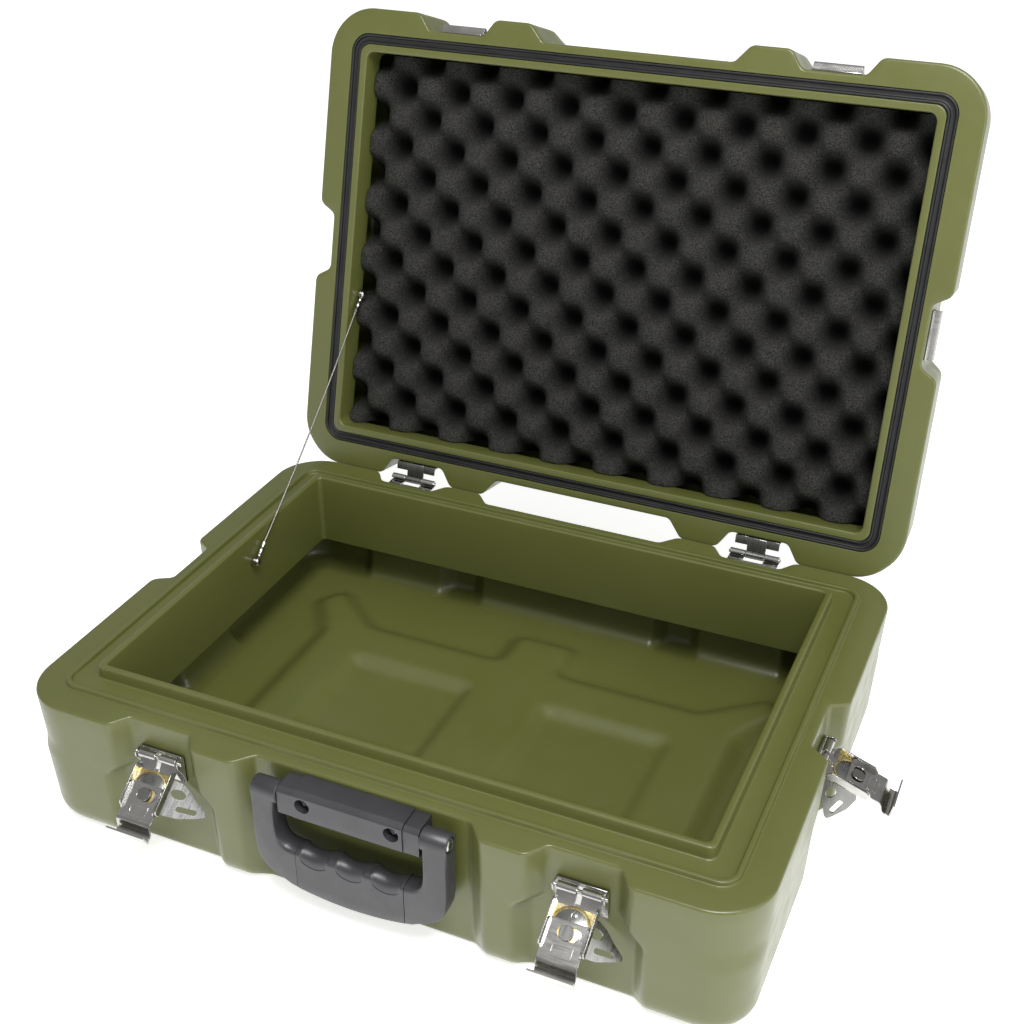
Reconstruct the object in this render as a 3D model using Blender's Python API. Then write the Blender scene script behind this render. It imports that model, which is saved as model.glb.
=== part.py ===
"""Hard equipment case, open on its stay cable.

Rotomoulded base and lid, rim gasket, lid foam, two hinges, four rotary draw latches,
a swinging carry handle and one stay cable. Metres, +Z up. The origin is the centre of
the base's underside, +X runs along the case's length and -Y is the handle side.
"""

import math

import bmesh
import bpy
from mathutils import Matrix, Vector
from mathutils.geometry import tessellate_polygon

MM = 0.001

# Driving dimensions
CASE_LENGTH = 550 * MM
CASE_WIDTH = 398.5 * MM
BASE_HEIGHT = 115 * MM
LID_HEIGHT = 63 * MM
RIM_GAP = 0.4 * MM
WALL = 5 * MM
CORNER_RADIUS = 42.7 * MM
DRAFT = math.tan(math.radians(2.5))
BASE_EDGE_RADIUS = 18 * MM
LID_EDGE_RADIUS = 13 * MM
RIM_EDGE_RADIUS = 1.6 * MM
FLOOR_FILLET = 12 * MM
LID_FILLET = 8 * MM
POCKET_EDGE_RADIUS = 6 * MM
POCKET_DEPTH = 14 * MM
CLEARANCE = 0.3 * MM
LID_OPEN_ANGLE = math.radians(105.2)

# Insets from the case's size to the rings of the rim
GASKET_OUTER = 20.5 * MM
GASKET_INNER = 29.2 * MM
LID_OPENING = 35.5 * MM
LIP_OUTER = 42 * MM
LIP_INNER = 47.5 * MM
BEAD_CENTRE = (GASKET_OUTER + GASKET_INNER) / 2

# Heights in the closed case
RIM = BASE_HEIGHT
LID_RIM = RIM + RIM_GAP
LID_TOP = LID_RIM + LID_HEIGHT
LIP_HEIGHT = 9.7 * MM
BEAD_HEIGHT = 3.2 * MM
BEAD_HALF_WIDTH = 2.25 * MM
SKIRT_DEPTH = 55 * MM
LID_SKIRT_DEPTH = 25 * MM
LID_FLANGE = 12 * MM
GROOVE_DEPTH = 6.5 * MM
FLOOR = 14.4 * MM
RIDGE_TOP = 24.5 * MM
RIDGE_SLOPE = 6 * MM
PANEL_FLOOR = 18.4 * MM

# Pockets in the walls: centre along the wall, half the mouth, half the floor
LATCH_X = 158 * MM
LATCH_POCKET = (34.5 * MM, 24.5 * MM)
HANDLE_POCKET = (92.2 * MM, 79.9 * MM)
SIDE_POCKET = (32.5 * MM, 24.4 * MM)
POCKET_WIDENING = 11 * MM
WIDENING_START = 38 * MM
WIDENING_RUN = 14 * MM
POCKET_STRAIGHT = 50 * MM
POCKET_FLOOR_Y = CASE_WIDTH / 2 - POCKET_DEPTH
POCKET_FLOOR_X = CASE_LENGTH / 2 - POCKET_DEPTH

# Hinges
HINGE_Y = 199.8 * MM
HINGE_Z = RIM - 2.4 * MM
LEAF_THICKNESS = 1.5 * MM
LEAF_HALF_WIDTH = 21 * MM
KNUCKLE_HALF_WIDTH = 9 * MM
KNUCKLE_RADIUS = 3.2 * MM
KNUCKLE_BORE = 1.75 * MM
LEAF_HEIGHT = 26 * MM
RIVET_SPACING = 26 * MM
RIVET_HEIGHT = 17 * MM
PIN_RADIUS = 1.4 * MM

# Latches, measured from the hinge pin: along the arm, and out from the wall
LATCH_DROP = 24.4 * MM
LATCH_STANDOFF = 6 * MM
LINK_HALF_WIDTH = 15.2 * MM
LINK_END = 37.5 * MM
ARM_HALF_WIDTH = 13.7 * MM
ARM_START = 19 * MM
HOOK_HALF_WIDTH = 15.4 * MM
HOOK_FACE = 54.5 * MM
SHEET = 1.1 * MM
CAM_ALONG = 22 * MM
CAM_RADIUS = 11.5 * MM
CAM_THROW = 4.5 * MM
FOLD_AXIS_OUT = 9.6 * MM
STRIKE_RISE = 17.3 * MM
STRIKE_RADIUS = 3 * MM
STRIKE_STANDOFF = 4 * MM
STRIKE_HALF_WIDTH = 19.2 * MM
BRACKET_HALF_WIDTH = 17.8 * MM
LATCH_PIN_END = 18.8 * MM

# Handle
HANDLE_AXIS_Y = -199.3 * MM
HANDLE_AXIS_Z = RIM - 11.4 * MM
BRACKET_HALF_LENGTH = 52.6 * MM
BARREL_RADIUS = 8.1 * MM
ARM_OUTER_X = 72.5 * MM
SEAM_X = 41 * MM
MOUNTING_SCREW_X = 33 * MM
MOUNTING_SCREW_Z = RIM - 12 * MM

# Stay cable, on the left wall
CABLE_RADIUS = 0.75 * MM
BASE_ANCHOR = Vector((-(CASE_LENGTH / 2 - LIP_INNER), 40.7 * MM, RIM - 13.8 * MM))
LID_ANCHOR = Vector((-(CASE_LENGTH / 2 - LID_OPENING), 45.7 * MM, LID_RIM + 18.5 * MM))
EYE_RADIUS = 5 * MM
EYE_STANDOFF = 3.4 * MM
EYE_HALF_THICKNESS = 0.65 * MM
FERRULE_START = 4 * MM
FERRULE_LENGTH = 15 * MM

# Colours: base colour, roughness, metallic
OLIVE = ((0.115, 0.135, 0.052), 0.45, 0.0)
BLACK_RUBBER = ((0.02, 0.02, 0.022), 0.6, 0.0)
FOAM_GREY = ((0.02, 0.02, 0.022), 0.95, 0.0)
BLACK_PLASTIC = ((0.03, 0.03, 0.033), 0.4, 0.0)
STAINLESS = ((0.62, 0.62, 0.61), 0.25, 1.0)
ZINC = ((0.75, 0.66, 0.36), 0.3, 1.0)


# Scene and mesh helpers


def clear_scene():
    for item in list(bpy.data.objects):
        bpy.data.objects.remove(item)


def finish(item, look):
    """Gives an object its own Principled material, worked out from colour, roughness and metallic."""
    colour, roughness, metallic = look
    material = bpy.data.materials.new(item.name)
    material.use_nodes = True
    shader = material.node_tree.nodes["Principled BSDF"]
    shader.inputs["Base Color"].default_value = (*colour, 1)
    shader.inputs["Roughness"].default_value = roughness
    shader.inputs["Metallic"].default_value = metallic
    item.data.materials.append(material)
    item.data.shade_smooth()
    item.data.set_sharp_from_angle(angle=math.radians(35))
    return item


def new_object(name, bm, parent=None):
    bmesh.ops.recalc_face_normals(bm, faces=bm.faces[:])
    mesh = bpy.data.meshes.new(name)
    bm.to_mesh(mesh)
    bm.free()
    item = bpy.data.objects.new(name, mesh)
    bpy.context.collection.objects.link(item)
    item.parent = parent
    return item


def empty(name, matrix, parent=None):
    item = bpy.data.objects.new(name, None)
    bpy.context.collection.objects.link(item)
    item.parent = parent
    item.matrix_local = matrix
    return item


def ring(bm, points, z):
    return [bm.verts.new((x, y, z)) for x, y in points]


def loft(bm, rings, closed=False):
    pairs = list(zip(rings, rings[1:]))
    if closed:
        pairs.append((rings[-1], rings[0]))
    for low, high in pairs:
        count = len(low)
        for i in range(count):
            j = (i + 1) % count
            bm.faces.new((low[i], low[j], high[j], high[i]))


def fill(bm, *loops):
    """Fills the flat area inside the first loop of vertices and outside the others."""
    if len(loops) == 1:
        bm.faces.new(loops[0])
        return
    verts = [vert for loop in loops for vert in loop]
    for triangle in tessellate_polygon([[vert.co for vert in loop] for loop in loops]):
        bm.faces.new([verts[i] for i in triangle])


def prism(bm, outline, axis, low, high, holes=()):
    """Extrudes an outline along an axis. Its two coordinates are the other two axes, in order."""
    order = {"X": (2, 0, 1), "Y": (0, 2, 1), "Z": (0, 1, 2)}[axis]
    ends = []
    for depth in (low, high):
        loops = []
        for points in (outline, *holes):
            loops.append([bm.verts.new([(u, v, depth)[k] for k in order]) for u, v in points])
        fill(bm, *loops)
        ends.append(loops)
    for first, second in zip(*ends):
        loft(bm, [first, second])


def box(bm, low, high):
    corners = [(low[0], low[1]), (high[0], low[1]), (high[0], high[1]), (low[0], high[1])]
    prism(bm, corners, "Z", low[2], high[2])


def circle(centre_u, centre_v, radius, steps=12):
    turn = 2 * math.pi / steps
    angles = [(i + 0.5) * turn for i in range(steps)]
    return [(centre_u + radius * math.cos(a), centre_v + radius * math.sin(a)) for a in angles]


def combine(target, operation, build):
    """Cuts or joins a hidden tool object, made by build, on the target."""
    bm = bmesh.new()
    build(bm)
    tool = new_object(f"{target.name}_tool{len(target.modifiers)}", bm, target.parent)
    tool.hide_render = True
    tool.display_type = "WIRE"
    boolean = target.modifiers.new("Boolean", "BOOLEAN")
    boolean.operation = operation
    boolean.object = tool
    return target


def made(name, build, look, parent=None):
    bm = bmesh.new()
    build(bm)
    return finish(new_object(name, bm, parent), look)


def sheet_outline(path, thickness):
    """Outline of a bent sheet that follows a path, thickened to both sides."""
    sides = ([], [])
    for i, point in enumerate(path):
        before = Vector(path[max(i - 1, 0)])
        after = Vector(path[min(i + 1, len(path) - 1)])
        here = Vector(point)
        into = (here - before).normalized() if i else (after - here).normalized()
        out = (after - here).normalized() if i + 1 < len(path) else into
        bisector = (into + out).normalized()
        normal = Vector((-bisector.y, bisector.x))
        reach = thickness / 2 / max(bisector.dot(into), 0.3)
        sides[0].append(tuple(here + normal * reach))
        sides[1].append(tuple(here - normal * reach))
    return sides[0] + sides[1][::-1]


# Outlines of the shells


def arc_points(centre_x, centre_y, radius, steps):
    angles = [math.pi / 2 * i / steps for i in range(steps + 1)]
    return [(centre_x + radius * math.cos(a), centre_y + radius * math.sin(a)) for a in angles]


def turned(points, quarter_turns):
    for _ in range(quarter_turns):
        points = [(-y, x) for x, y in points]
    return points


def plain_outline(inset, radius, steps=4):
    """Rounded rectangle that stands in from the case's size by the inset."""
    points = []
    for side in range(4):
        reach = [CASE_LENGTH / 2 - inset, CASE_WIDTH / 2 - inset]
        if side % 2:
            reach.reverse()
        points += turned(arc_points(reach[0] - radius, reach[1] - radius, radius, steps), side)
    return points


def pocketed_outline(inset, floor_inset, widening=0.0):
    """The case's outline with its side, latch, hinge and handle pockets cut into the walls."""
    radius = CORNER_RADIUS - inset
    flank = [(0.0, 0.0), (0.3, 0.22), (0.7, 0.78), (1.0, 1.0)]
    points = []
    for side in range(4):
        out, reach = CASE_LENGTH / 2 - inset, CASE_WIDTH / 2 - inset
        pockets = [(0.0, *SIDE_POCKET, widening)]
        if side % 2:
            out, reach = reach, out
            latch = (*LATCH_POCKET, widening)
            pockets = [(-LATCH_X, *latch), (0.0, *HANDLE_POCKET, 0.0), (LATCH_X, *latch)]
        wall = []
        for centre, half_mouth, half_floor, extra in pockets:
            for way in (-1, 1):
                for along, share in flank[::-way]:
                    half = half_mouth + extra + (half_floor - half_mouth) * along
                    wall.append((out - (floor_inset - inset) * share, centre + way * half))
        wall += arc_points(out - radius, reach - radius, radius, 4)
        points += turned(wall, side)
    return points


def edge_inset(rise, radius):
    """How far a rounded edge stands in at a height above the face that it ends on."""
    if rise >= radius:
        return 0.0
    return radius - math.sqrt(radius**2 - (radius - rise) ** 2)


# Base and lid


def floor_ridge(top):
    """Raised cross and four diagonal arms of the moulded floor, at its foot or at its top."""
    quarter = [(190, 72), (217, 116), (200, 140), (168, 117), (147, 99), (25, 99), (23, 140)]
    points = [(x * MM, y * MM) for x, y in quarter]
    points += [(-x, y) for x, y in points[::-1]]
    points += [(-x, -y) for x, y in points]
    return inset_outline(points, RIDGE_SLOPE) if top else points


def inset_outline(points, distance):
    """A closed, counter-clockwise outline moved inwards by a distance."""
    moved = []
    count = len(points)
    for i, point in enumerate(points):
        here = Vector(point)
        into = (here - Vector(points[i - 1])).normalized()
        out = (Vector(points[(i + 1) % count]) - here).normalized()
        bisector = (into + out).normalized()
        normal = Vector((-bisector.y, bisector.x))
        moved.append(tuple(here + normal * distance / max(bisector.dot(into), 0.4)))
    return moved


def panel(side, floor):
    """One of the two recessed panels in the floor's ridge."""
    inner, outer, half = (37, 134, 46) if floor else (29.5, 143, 53)
    corners = [(inner, -half), (outer, -half), (outer, half), (inner, half)]
    points = [(x * MM, y * MM) for x, y in corners]
    return points if side > 0 else [(-x, -y) for x, y in points]


def pocket_widening(down):
    """The pockets' mouths flare out over a short run below the rim."""
    return POCKET_WIDENING * min(1.0, max(0.0, (down - WIDENING_START) / WIDENING_RUN))


def pocket_inset(down):
    """The pockets' floors hang straight from the rim, then follow the walls' draft."""
    return POCKET_DEPTH + DRAFT * max(0.0, down - POCKET_STRAIGHT)


def base_outer_ring(bm, z):
    down = RIM - z
    rim_edge = edge_inset(down, RIM_EDGE_RADIUS)
    inset = DRAFT * down + edge_inset(z, BASE_EDGE_RADIUS) + rim_edge
    floor_inset = pocket_inset(down) + rim_edge + edge_inset(z, POCKET_EDGE_RADIUS)
    outline = pocketed_outline(inset, max(inset, floor_inset), pocket_widening(down))
    return ring(bm, outline, z)


def base_inner_ring(bm, z):
    down = RIM - z
    fillet = edge_inset(z - FLOOR, FLOOR_FILLET)
    inset = WALL + DRAFT * down + fillet
    floor_inset = WALL + pocket_inset(down) + fillet
    return ring(bm, pocketed_outline(inset, floor_inset, pocket_widening(down)), z)


def base_rim_rings(bm):
    """Sealing bead, channel, raised lip and hanging skirt, from the outside in."""
    profile = [
        (BEAD_CENTRE - BEAD_HALF_WIDTH, 14 * MM, 0.0),
        (BEAD_CENTRE - BEAD_HALF_WIDTH + 0.7 * MM, 13 * MM, BEAD_HEIGHT),
        (BEAD_CENTRE + BEAD_HALF_WIDTH - 0.7 * MM, 11 * MM, BEAD_HEIGHT),
        (BEAD_CENTRE + BEAD_HALF_WIDTH, 10 * MM, 0.0),
        (LIP_OUTER, 6 * MM, 0.0),
        (LIP_OUTER + 0.3 * MM, 6 * MM, LIP_HEIGHT - 1 * MM),
        (LIP_OUTER + 1.2 * MM, 5 * MM, LIP_HEIGHT),
        (LIP_INNER - 1 * MM, 4 * MM, LIP_HEIGHT),
        (LIP_INNER, 4 * MM, LIP_HEIGHT - 1 * MM),
        (LIP_INNER, 4 * MM, -SKIRT_DEPTH),
        (LIP_INNER - 4 * MM, 6 * MM, -SKIRT_DEPTH),
        (LIP_OUTER + 0.8 * MM, 6 * MM, -WALL),
    ]
    return [ring(bm, plain_outline(inset, radius), RIM + rise) for inset, radius, rise in profile]


def build_base(bm):
    heights = [0.0, 2.4, 9, 18, 63, 77, 113.4, 115]
    outside = [base_outer_ring(bm, z * MM) for z in heights]
    rim = base_rim_rings(bm)
    inside = [base_inner_ring(bm, z * MM) for z in (110, 77, 63, 26.4, 20.4, 16, 14.4)]
    ridge = ring(bm, floor_ridge(False), FLOOR)
    ridge_top = ring(bm, floor_ridge(True), RIDGE_TOP)
    fill(bm, outside[0])
    loft(bm, outside)
    fill(bm, outside[-1], rim[0])
    loft(bm, rim)
    fill(bm, inside[0], rim[-1])
    loft(bm, inside)
    fill(bm, inside[-1], ridge)
    loft(bm, [ridge, ridge_top])
    mouths = [ring(bm, panel(side, False), RIDGE_TOP) for side in (-1, 1)]
    floors = [ring(bm, panel(side, True), PANEL_FLOOR) for side in (-1, 1)]
    fill(bm, ridge_top, *mouths)
    for mouth, floor in zip(mouths, floors):
        loft(bm, [mouth, floor])
        fill(bm, floor)


def lid_outer_ring(bm, rise):
    """rise is the height above the lid's rim."""
    below_top = LID_HEIGHT - rise
    rim_edge = edge_inset(rise, RIM_EDGE_RADIUS)
    inset = DRAFT * rise + edge_inset(below_top, LID_EDGE_RADIUS) + rim_edge
    floor_inset = POCKET_DEPTH + edge_inset(below_top, POCKET_EDGE_RADIUS) + rim_edge
    return ring(bm, pocketed_outline(inset, max(inset, floor_inset)), LID_RIM + rise)


def lid_inner_ring(bm, rise):
    fillet = edge_inset(LID_HEIGHT - WALL - rise, LID_FILLET)
    inset = WALL + DRAFT * rise + fillet
    return ring(bm, pocketed_outline(inset, POCKET_DEPTH + WALL + fillet), LID_RIM + rise)


def lid_rim_rings(bm):
    """Flange, skirt round the opening and gasket groove, from the inside out."""
    profile = [
        (LID_OPENING - WALL, 8 * MM, LID_FLANGE),
        (LID_OPENING - WALL, 8 * MM, LID_SKIRT_DEPTH),
        (LID_OPENING, 3 * MM, LID_SKIRT_DEPTH),
        (LID_OPENING, 3 * MM, 0.8 * MM),
        (LID_OPENING - 0.8 * MM, 3.8 * MM, 0.0),
        (GASKET_INNER, 9 * MM, 0.0),
        (GASKET_INNER, 9 * MM, GROOVE_DEPTH),
        (GASKET_OUTER, 16 * MM, GROOVE_DEPTH),
        (GASKET_OUTER, 16 * MM, 0.0),
    ]
    return [ring(bm, plain_outline(inset, radius), LID_RIM + rise) for inset, radius, rise in profile]


def build_lid(bm):
    outside = [lid_outer_ring(bm, rise * MM) for rise in (0.0, 1.6, 50, 56.5, 61.26, 63)]
    inside = [lid_inner_ring(bm, rise * MM) for rise in (12, 50, 55.6, 58)]
    rim = lid_rim_rings(bm)
    fill(bm, outside[-1])
    loft(bm, outside)
    fill(bm, outside[0], rim[-1])
    loft(bm, rim)
    fill(bm, inside[0], rim[0])
    loft(bm, inside)
    fill(bm, inside[-1])


def build_gasket(bm):
    """Channel-section rubber seal: two ridges stand either side of the base's bead."""
    outer = GASKET_OUTER + CLEARANCE
    inner = GASKET_INNER - CLEARANCE
    ridge = 1.4 * MM
    profile = [
        (outer, 15.7, GROOVE_DEPTH - CLEARANCE),
        (outer, 15.7, 0.6 * MM),
        (outer + ridge, 14.3, 0.6 * MM),
        (outer + ridge + 0.2 * MM, 14.1, 3.2 * MM),
        (inner - ridge - 0.2 * MM, 10.6, 3.2 * MM),
        (inner - ridge, 10.4, 0.6 * MM),
        (inner, 9.3, 0.6 * MM),
        (inner, 9.3, GROOVE_DEPTH - CLEARANCE),
    ]
    rings = [ring(bm, plain_outline(i, r * MM), LID_RIM + rise) for i, r, rise in profile]
    loft(bm, rings, closed=True)


def build_foam(bm):
    """Convoluted foam: peaks and hollows alternate over a square grid."""
    half_x = CASE_LENGTH / 2 - LID_OPENING - 1.3 * MM
    half_y = CASE_WIDTH / 2 - LID_OPENING - 1 * MM
    back = LID_TOP - WALL - CLEARANCE
    columns, rows = 19, 13
    grid = {}
    for i in range(columns + 1):
        for j in range(rows + 1):
            x = half_x * (2 * i / columns - 1)
            y = half_y * (2 * j / rows - 1)
            rise = (16 if (i + j) % 2 else 35) * MM
            grid[i, j] = bm.verts.new((x, y, LID_RIM + rise))
    for i in range(columns):
        for j in range(rows):
            a, b = grid[i, j], grid[i + 1, j]
            c, d = grid[i + 1, j + 1], grid[i, j + 1]
            split = ((a, b, c), (a, c, d)) if (i + j) % 2 else ((a, b, d), (b, c, d))
            for triangle in split:
                bm.faces.new(triangle)
    border = [grid[i, 0] for i in range(columns)] + [grid[columns, j] for j in range(rows)]
    border += [grid[i, rows] for i in range(columns, 0, -1)] + [grid[0, j] for j in range(rows, 0, -1)]
    top = [bm.verts.new((vert.co.x, vert.co.y, back)) for vert in border]
    loft(bm, [border, top])
    fill(bm, top)


def make_shells(lid_pivot):
    made("base_shell", build_base, OLIVE)
    made("lid_shell", build_lid, OLIVE, lid_pivot)
    made("lid_gasket", build_gasket, BLACK_RUBBER, lid_pivot)
    foam = made("lid_foam", build_foam, FOAM_GREY, lid_pivot)
    low = (LID_ANCHOR.x - 8 * MM, LID_ANCHOR.y - 9 * MM, LID_RIM)
    high = (LID_ANCHOR.x + 7 * MM, LID_ANCHOR.y + 20 * MM, LID_RIM + 29 * MM)
    combine(foam, "DIFFERENCE", lambda bm: box(bm, low, high))


# Hinges


def leaf_outline(way):
    """Rolled hinge leaf in Y and Z: a plate on the pocket floor, a tongue and a curl round the pin.

    way is -1 for the base's leaf, which hangs below the pin, and 1 for the lid's.
    """
    wall = POCKET_FLOOR_Y + CLEARANCE
    near, far = KNUCKLE_BORE, KNUCKLE_RADIUS
    end = LEAF_HEIGHT
    points = [(wall, end), (wall, near), (HINGE_Y, near)]
    for i in range(1, 10):
        angle = math.radians(90 - 30 * i)
        points.append((HINGE_Y + near * math.cos(angle), near * math.sin(angle)))
    for i in range(9, -1, -1):
        angle = math.radians(90 - 30 * i)
        points.append((HINGE_Y + far * math.cos(angle), far * math.sin(angle)))
    points += [(wall + LEAF_THICKNESS, far), (wall + LEAF_THICKNESS, end)]
    return [(y, HINGE_Z + way * z) for y, z in points]


def make_leaf(name, centre_x, way, parent):
    left, right = centre_x - LEAF_HALF_WIDTH, centre_x + LEAF_HALF_WIDTH
    leaf = made(name, lambda bm: prism(bm, leaf_outline(way), "X", left, right), STAINLESS, parent)
    knuckle = KNUCKLE_HALF_WIDTH + (CLEARANCE if way < 0 else 0.0)
    low_y, high_y = POCKET_FLOOR_Y + 6 * MM, HINGE_Y + 5 * MM
    low_z, high_z = HINGE_Z - 5 * MM, HINGE_Z + 5 * MM

    def gap(bm, low_x, high_x):
        box(bm, (low_x, low_y, low_z), (high_x, high_y, high_z))

    def base_gap(bm):
        gap(bm, centre_x - knuckle, centre_x + knuckle)

    def lid_gaps(bm):
        gap(bm, left - 1 * MM, centre_x - knuckle)
        gap(bm, centre_x + knuckle, right + 1 * MM)

    return combine(leaf, "DIFFERENCE", base_gap if way < 0 else lid_gaps)


def make_rivet(name, centre_x, way, parent):
    """Domed rivet head against the leaf's plate."""
    z = HINGE_Z + way * RIVET_HEIGHT
    face = POCKET_FLOOR_Y + CLEARANCE + LEAF_THICKNESS + CLEARANCE

    def build(bm):
        rings = []
        for radius, rise in ((3.4, 0.0), (3.2, 0.8), (1.8, 1.5)):
            points = circle(centre_x, z, radius * MM, 8)
            rings.append([bm.verts.new((u, face + rise * MM, v)) for u, v in points])
        loft(bm, rings)
        fill(bm, rings[0])
        fill(bm, rings[-1])

    return made(name, build, STAINLESS, parent)


def make_hinges(lid_pivot):
    for side, centre_x in (("left", -LATCH_X), ("right", LATCH_X)):
        make_leaf(f"hinge_{side}_base_leaf", centre_x, -1, None)
        make_leaf(f"hinge_{side}_lid_leaf", centre_x, 1, lid_pivot)
        low, high = centre_x - LEAF_HALF_WIDTH - 1 * MM, centre_x + LEAF_HALF_WIDTH + 1 * MM
        pin = circle(HINGE_Y, HINGE_Z, PIN_RADIUS)
        made(f"hinge_{side}_pin", lambda bm: prism(bm, pin, "X", low, high), STAINLESS)
        for number, offset in enumerate((-RIVET_SPACING / 2, RIVET_SPACING / 2), 1):
            make_rivet(f"hinge_{side}_base_rivet_{number}", centre_x + offset, -1, None)
            make_rivet(f"hinge_{side}_lid_rivet_{number}", centre_x + offset, 1, lid_pivot)


# Latches. Each piece is drawn shut: u across the latch, out from the wall, along the arm.
# An outline drawn with along_outline lists (along, out); the wall is at -LATCH_STANDOFF.


def across(bm, outline, low, high):
    """Extrudes an outline of (along, out) points across the latch."""
    prism(bm, [(-out, along) for along, out in outline], "X", low, high)


def slab(bm, u, out, along):
    box(bm, (u[0], -out[1], along[0]), (u[1], -out[0], along[1]))


def bore(bm, radius, half_width, along=0.0, out=0.0):
    prism(bm, circle(-out, along, radius), "X", -half_width, half_width)


def stud(bm, radius, out, along, u=0.0, steps=12):
    prism(bm, circle(u, along, radius, steps), "Y", -out[1], -out[0])


def make_latch_bracket(name, mount):
    wall = -LATCH_STANDOFF + CLEARANCE
    half = BRACKET_HALF_WIDTH
    ear = BRACKET_HALF_WIDTH - 1.5 * MM

    def plate(bm):
        slab(bm, (-half, half), (wall, wall + 1.5 * MM), (-20 * MM, 9 * MM))

    def ears(bm):
        for low, high in ((-half, -ear), (ear, half)):
            slab(bm, (low, high), (wall + 0.5 * MM, 2.8 * MM), (-7 * MM, 5 * MM))

    bracket = made(name, plate, STAINLESS, mount)
    combine(bracket, "UNION", ears)
    return combine(bracket, "DIFFERENCE", lambda bm: bore(bm, KNUCKLE_BORE, half + 1 * MM))


def link_outline():
    """Link plate in (along, out), rolled round the pin at its lower end."""
    near, far = KNUCKLE_BORE, 3.0 * MM
    points = [(LINK_END, 5 * MM), (7.5 * MM, 5 * MM)]
    turns = [math.radians(90 + 30 * i) for i in range(9)]
    points += [(far * math.cos(a), far * math.sin(a)) for a in turns]
    points += [(near * math.cos(a), near * math.sin(a)) for a in turns[::-1]]
    points += [(8 * MM, 4 * MM), (LINK_END, 4 * MM)]
    return points


def make_link(name, pivot):
    half = LINK_HALF_WIDTH
    link = made(name, lambda bm: across(bm, link_outline(), -half, half), ZINC, pivot)

    def flanges(bm):
        for low, high in ((-half, -half + SHEET), (half - SHEET, half)):
            slab(bm, (low, high), (-3.5 * MM, 4.5 * MM), (6 * MM, LINK_END - 0.5 * MM))

    def openings(bm):
        slab(bm, (-3.5 * MM, 3.5 * MM), (-4 * MM, 6 * MM), (-4 * MM, 5 * MM))
        stud(bm, 3.4 * MM, (3 * MM, 6 * MM), CAM_ALONG)

    combine(link, "UNION", flanges)
    return combine(link, "DIFFERENCE", openings)


def arm_outline():
    """Hook arm in (along, out): flat plate, step outwards, then the hook back to the wall."""
    plate = 2.05 * MM
    crest = 8.2 * MM
    face = HOOK_FACE + SHEET / 2
    path = [(ARM_START, plate), (45 * MM, plate), (48 * MM, 3.6 * MM), (50 * MM, 6.8 * MM)]
    path += [(52 * MM, crest), (face, crest), (face, -3 * MM)]
    return sheet_outline(path, SHEET)


def make_arm(name, pivot):
    half = ARM_HALF_WIDTH
    arm = made(name, lambda bm: across(bm, arm_outline(), -half, half), STAINLESS, pivot)

    def flanges(bm):
        for low, high in ((-half, -half + SHEET), (half - SHEET, half)):
            slab(bm, (low, high), (-2.5 * MM, 2.4 * MM), (ARM_START + 0.5 * MM, 36 * MM))

    def hook(bm):
        out = (-3.2 * MM, 8.0 * MM)
        slab(bm, (-HOOK_HALF_WIDTH, HOOK_HALF_WIDTH), out, (HOOK_FACE + 0.1 * MM, HOOK_FACE + 1.4 * MM))

    def slot(bm):
        along = CAM_ALONG + CAM_THROW
        slab(bm, (-7.2 * MM, 7.2 * MM), (0.5 * MM, 4 * MM), (along - 2.7 * MM, along + 2.7 * MM))

    combine(arm, "UNION", flanges)
    combine(arm, "UNION", hook)
    return combine(arm, "DIFFERENCE", slot)


def make_cam(name, pivot):
    """Cam disc between link and arm, with its spindle, cross pin and off-centre drive rivet."""
    throw = CAM_ALONG + CAM_THROW

    def disc(bm):
        stud(bm, CAM_RADIUS, (2.9 * MM, 3.7 * MM), CAM_ALONG, steps=20)

    cam = made(name, disc, STAINLESS, pivot)
    combine(cam, "UNION", lambda bm: stud(bm, 1.6 * MM, (1.0 * MM, 3.3 * MM), throw))
    combine(cam, "UNION", lambda bm: stud(bm, 4.3 * MM, (0.1 * MM, 1.3 * MM), throw))
    combine(cam, "UNION", lambda bm: stud(bm, 3.0 * MM, (3.2 * MM, 11.6 * MM), CAM_ALONG))

    def cross_pin(bm):
        prism(bm, circle(0, -FOLD_AXIS_OUT, 1.0 * MM), "Z", CAM_ALONG - 9 * MM, CAM_ALONG + 9 * MM)

    return combine(cam, "UNION", cross_pin)


def wing_outline():
    """Wing key in (along, across), seen from outside; the fold axis runs along at across = 0."""
    points = [(-9, 3.6), (-13, 12), (-9, 24), (-5, 33), (-2, 40), (1, 42)]
    points += [(4.5, 41), (7, 36), (11, 24), (13, 12), (9, 3.6), (5, 3.6), (3, 8), (-3, 8), (-5, 3.6)]
    return [(along * MM, u * MM) for along, u in points]


def make_wing(name, fold):
    """Wing key with an oval and a slotted hole, hinged on the cam's cross pin."""
    half = 0.6 * MM

    def oval(centre_along, centre_u, radius_along, radius_u, steps=10):
        points = circle(0, 0, 1.0, steps)
        return [(centre_u + radius_u * v, centre_along + radius_along * u) for u, v in points]

    def build(bm):
        outline = [(u, along) for along, u in wing_outline()]
        holes = [oval(-4.5 * MM, 18 * MM, 2.8 * MM, 5 * MM)]
        holes.append(oval(4.0 * MM, 27 * MM, 1.6 * MM, 7 * MM))
        prism(bm, outline, "Y", -half, half, holes)

    def ears(bm):
        for low, high in ((-8.8 * MM, -5.2 * MM), (5.2 * MM, 8.8 * MM)):
            slab(bm, (-2.1 * MM, 5.0 * MM), (-2.1 * MM, 2.1 * MM), (low, high))

    def pin_bore(bm):
        prism(bm, circle(0, 0, 1.35 * MM), "Z", -10 * MM, 10 * MM)

    wing = made(name, build, STAINLESS, fold)
    combine(wing, "UNION", ears)
    return combine(wing, "DIFFERENCE", pin_bore)


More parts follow.
